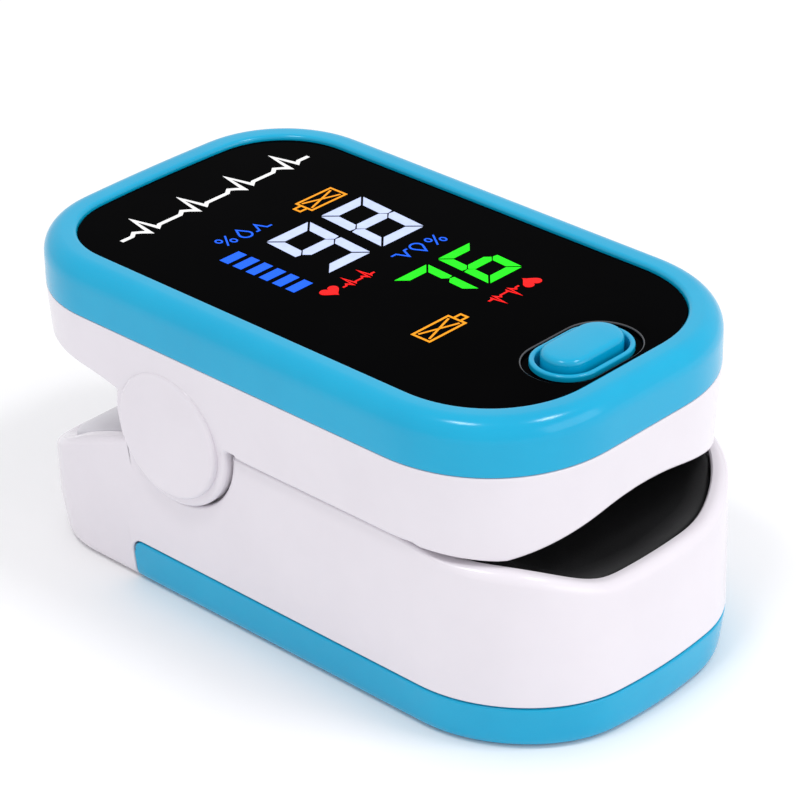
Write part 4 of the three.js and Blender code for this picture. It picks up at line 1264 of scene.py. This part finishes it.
def screw(name, node, x, y, z, length, body):
    """A domed head with a cross recess, threads on the shank, pointing up."""
    shape = Shape()
    steps = 48
    turns = np.arange(steps) / steps * 2 * math.pi
    rings = []
    levels = [(0.15, -0.98), (0.3, -0.98), (0.45, -0.97), (0.6, -0.94), (0.8, -0.87)]
    levels += [(1.0, -0.75), (1.18, -0.56), (1.31, -0.32), (1.35, -0.12), (1.33, 0)]
    for r, h in levels:
        ring = []
        for t in turns:
            px, py = r * math.cos(t), r * math.sin(t)
            arm = min(abs(px), abs(py))
            reach = max(abs(px), abs(py))
            deep = 0.45 * (1 - smooth((arm - 0.12) / 0.1)) * (1 - smooth((reach - 0.7) / 0.15))
            ring.append((x + px, y + py, z + h + float(deep)))
        rings.append(ring)
    shank = [(0.62, 0.0), (0.62, 0.2)]
    pitch = 0.5
    count = int((length - 0.9) / pitch)
    for k in range(count):
        base = 0.3 + k * pitch
        shank += [(0.48, base), (0.66, base + 0.2), (0.66, base + 0.26)]
    shank += [(0.4, length - 0.45), (0.08, length - 0.02)]
    rings += [disc_ring(r, x, y, z + h, "z", steps) for r, h in shank]
    solid(shape, rings)
    piece(name, shape, STEEL, body, [node], 40, False)


# ------------------------------------------------------------------ carried-over CAD nodes
CARRIED = {
    "display_module": MODULE, "main_board": BOARD, "tact_switch": STEEL, "microcontroller": CHIP,
    "board_connector": CREAM, "emitter_board": BOARD, "sensor_board": BOARD, "photodiode": CHIP,
}


def carried_nodes():
    for node, material_of in CARRIED.items():
        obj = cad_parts[node]
        obj.data.materials.clear()
        obj.data.materials.append(material_of)
        edges = obj.modifiers.new("edges", "BEVEL")
        edges.width = 0.12 * MM
        edges.segments = 2
        edges.limit_method = "ANGLE"
        edges.angle_limit = math.radians(40)


top_bezel()
display_window()
button_collar()
power_button()
window_marks()
upper_shell()
hinge_caps()
lower_shell()
battery_cover()
pad(
    "pad_lower", "lower_finger_pad", lower_sizes, LOWER_CORNERS[0], 1.86, 17.0, 13.4,
    lower_surface, "lower_jaw", LIP_THIN,
)
pad(
    "pad_upper", "upper_finger_pad", upper_sizes, UPPER_CORNERS[0], 1.75, 19.0, 22.8,
    upper_surface, "upper_jaw",
)
lenses()
rear_panel()
axle()
torsion_springs()
flex_cable()
cells()
coil_spring("contact_coil_front", "battery_front_spring", CELL_X, -24.5, 1, 1.3)
coil_spring("contact_coil_rear", "battery_rear_spring", -CELL_X, 24.1, -1, 2.1)
contact_plate("contact_bridge", "battery_bridge_contact")
contact_plate("contact_plate", "battery_plate_contact")
for sign, side_name in ((-1, "left"), (1, "right")):
    upper_x, upper_y = UPPER_SCREW
    lower_x, lower_y = LOWER_SCREW
    upper_node, lower_node = "upper_screw_" + side_name, "lower_screw_" + side_name
    screw("screw_upper_" + side_name, upper_node, sign * upper_x, upper_y, 23.35, 4.6, "upper_jaw")
    screw("screw_lower_" + side_name, lower_node, sign * lower_x, lower_y, 2.15, 7.0, "lower_jaw")
carried_nodes()


# ------------------------------------------------------------------ camera, floor, light
def camera():
    azimuth, elevation, roll = map(math.radians, (-46.34, 29.39, -0.94))
    distance, right_by, up_by = 298.69, 1.35, 0.68
    level = math.cos(elevation)
    back = np.array([math.sin(azimuth) * level, -math.cos(azimuth) * level, math.sin(elevation)])
    right = np.cross(-back, (0, 0, 1.0))
    right /= np.linalg.norm(right)
    up = np.cross(right, -back)
    across = math.cos(roll) * right + math.sin(roll) * up
    above = -math.sin(roll) * right + math.cos(roll) * up
    place = np.array([0, SHIFT_Y, 17.0]) + right * right_by + up * up_by + back * distance
    data = bpy.data.cameras.new("camera")
    data.lens = 151.26
    data.sensor_width = 36.0
    data.clip_start = 0.01
    data.clip_end = 20.0
    obj = bpy.data.objects.new("camera", data)
    matrix = [[across[i], above[i], back[i], place[i] * MM] for i in range(3)] + [[0, 0, 0, 1]]
    obj.matrix_world = Matrix(matrix)
    bpy.context.scene.collection.objects.link(obj)
    bpy.context.scene.camera = obj


def floor():
    mesh = bpy.data.meshes.new("floor")
    r = 6.0
    mesh.from_pydata([(-r, -r, 0), (r, -r, 0), (r, r, 0), (-r, r, 0)], [], [(0, 1, 2, 3)])
    material, shader = new_material("floor")
    tree = material.node_tree
    grain = noise(tree, 6.0)
    tree.links.new(ramp(tree, grain, (0.93, 0.93, 0.935), (0.94, 0.94, 0.945)), shader.inputs["Base Color"])
    tree.links.new(spread(tree, grain, 0.85, 0.9), shader.inputs["Roughness"])
    shader.inputs["Specular IOR Level"].default_value = 0.0
    mesh.materials.append(material)
    obj = bpy.data.objects.new("floor", mesh)
    bpy.context.scene.collection.objects.link(obj)
    obj.location.z = -0.00005


def softbox(name, direction, distance, size, power, colour=(1, 1, 1)):
    data = bpy.data.lights.new(name, "AREA")
    data.shape = "RECTANGLE"
    data.size, data.size_y = size
    data.energy = power
    data.color = colour
    obj = bpy.data.objects.new(name, data)
    towards = Vector(direction).normalized()
    obj.location = towards * distance + Vector((0, 0, 0.015))
    obj.rotation_euler = towards.to_track_quat("Z", "Y").to_euler()
    bpy.context.scene.collection.objects.link(obj)


def lights():
    world = bpy.data.worlds.new("studio")
    world.use_nodes = True
    background = world.node_tree.nodes["Background"]
    background.inputs["Color"].default_value = (0.985, 0.985, 1.0, 1)
    background.inputs["Strength"].default_value = 0.83
    bpy.context.scene.world = world
    softbox("softbox_right", (0.186, -0.451, 0.87), 0.6, (0.13, 0.08), 0.66)
    softbox("softbox_left", (-0.37, -0.037, 0.924), 0.6, (0.13, 0.08), 0.66)
    softbox("front_fill", (0.25, -1.0, 0.35), 0.8, (0.6, 0.4), 1.1)


camera()
floor()
lights()
scene = bpy.context.scene
scene.view_settings.view_transform = "Standard"
scene.view_settings.look = "None"
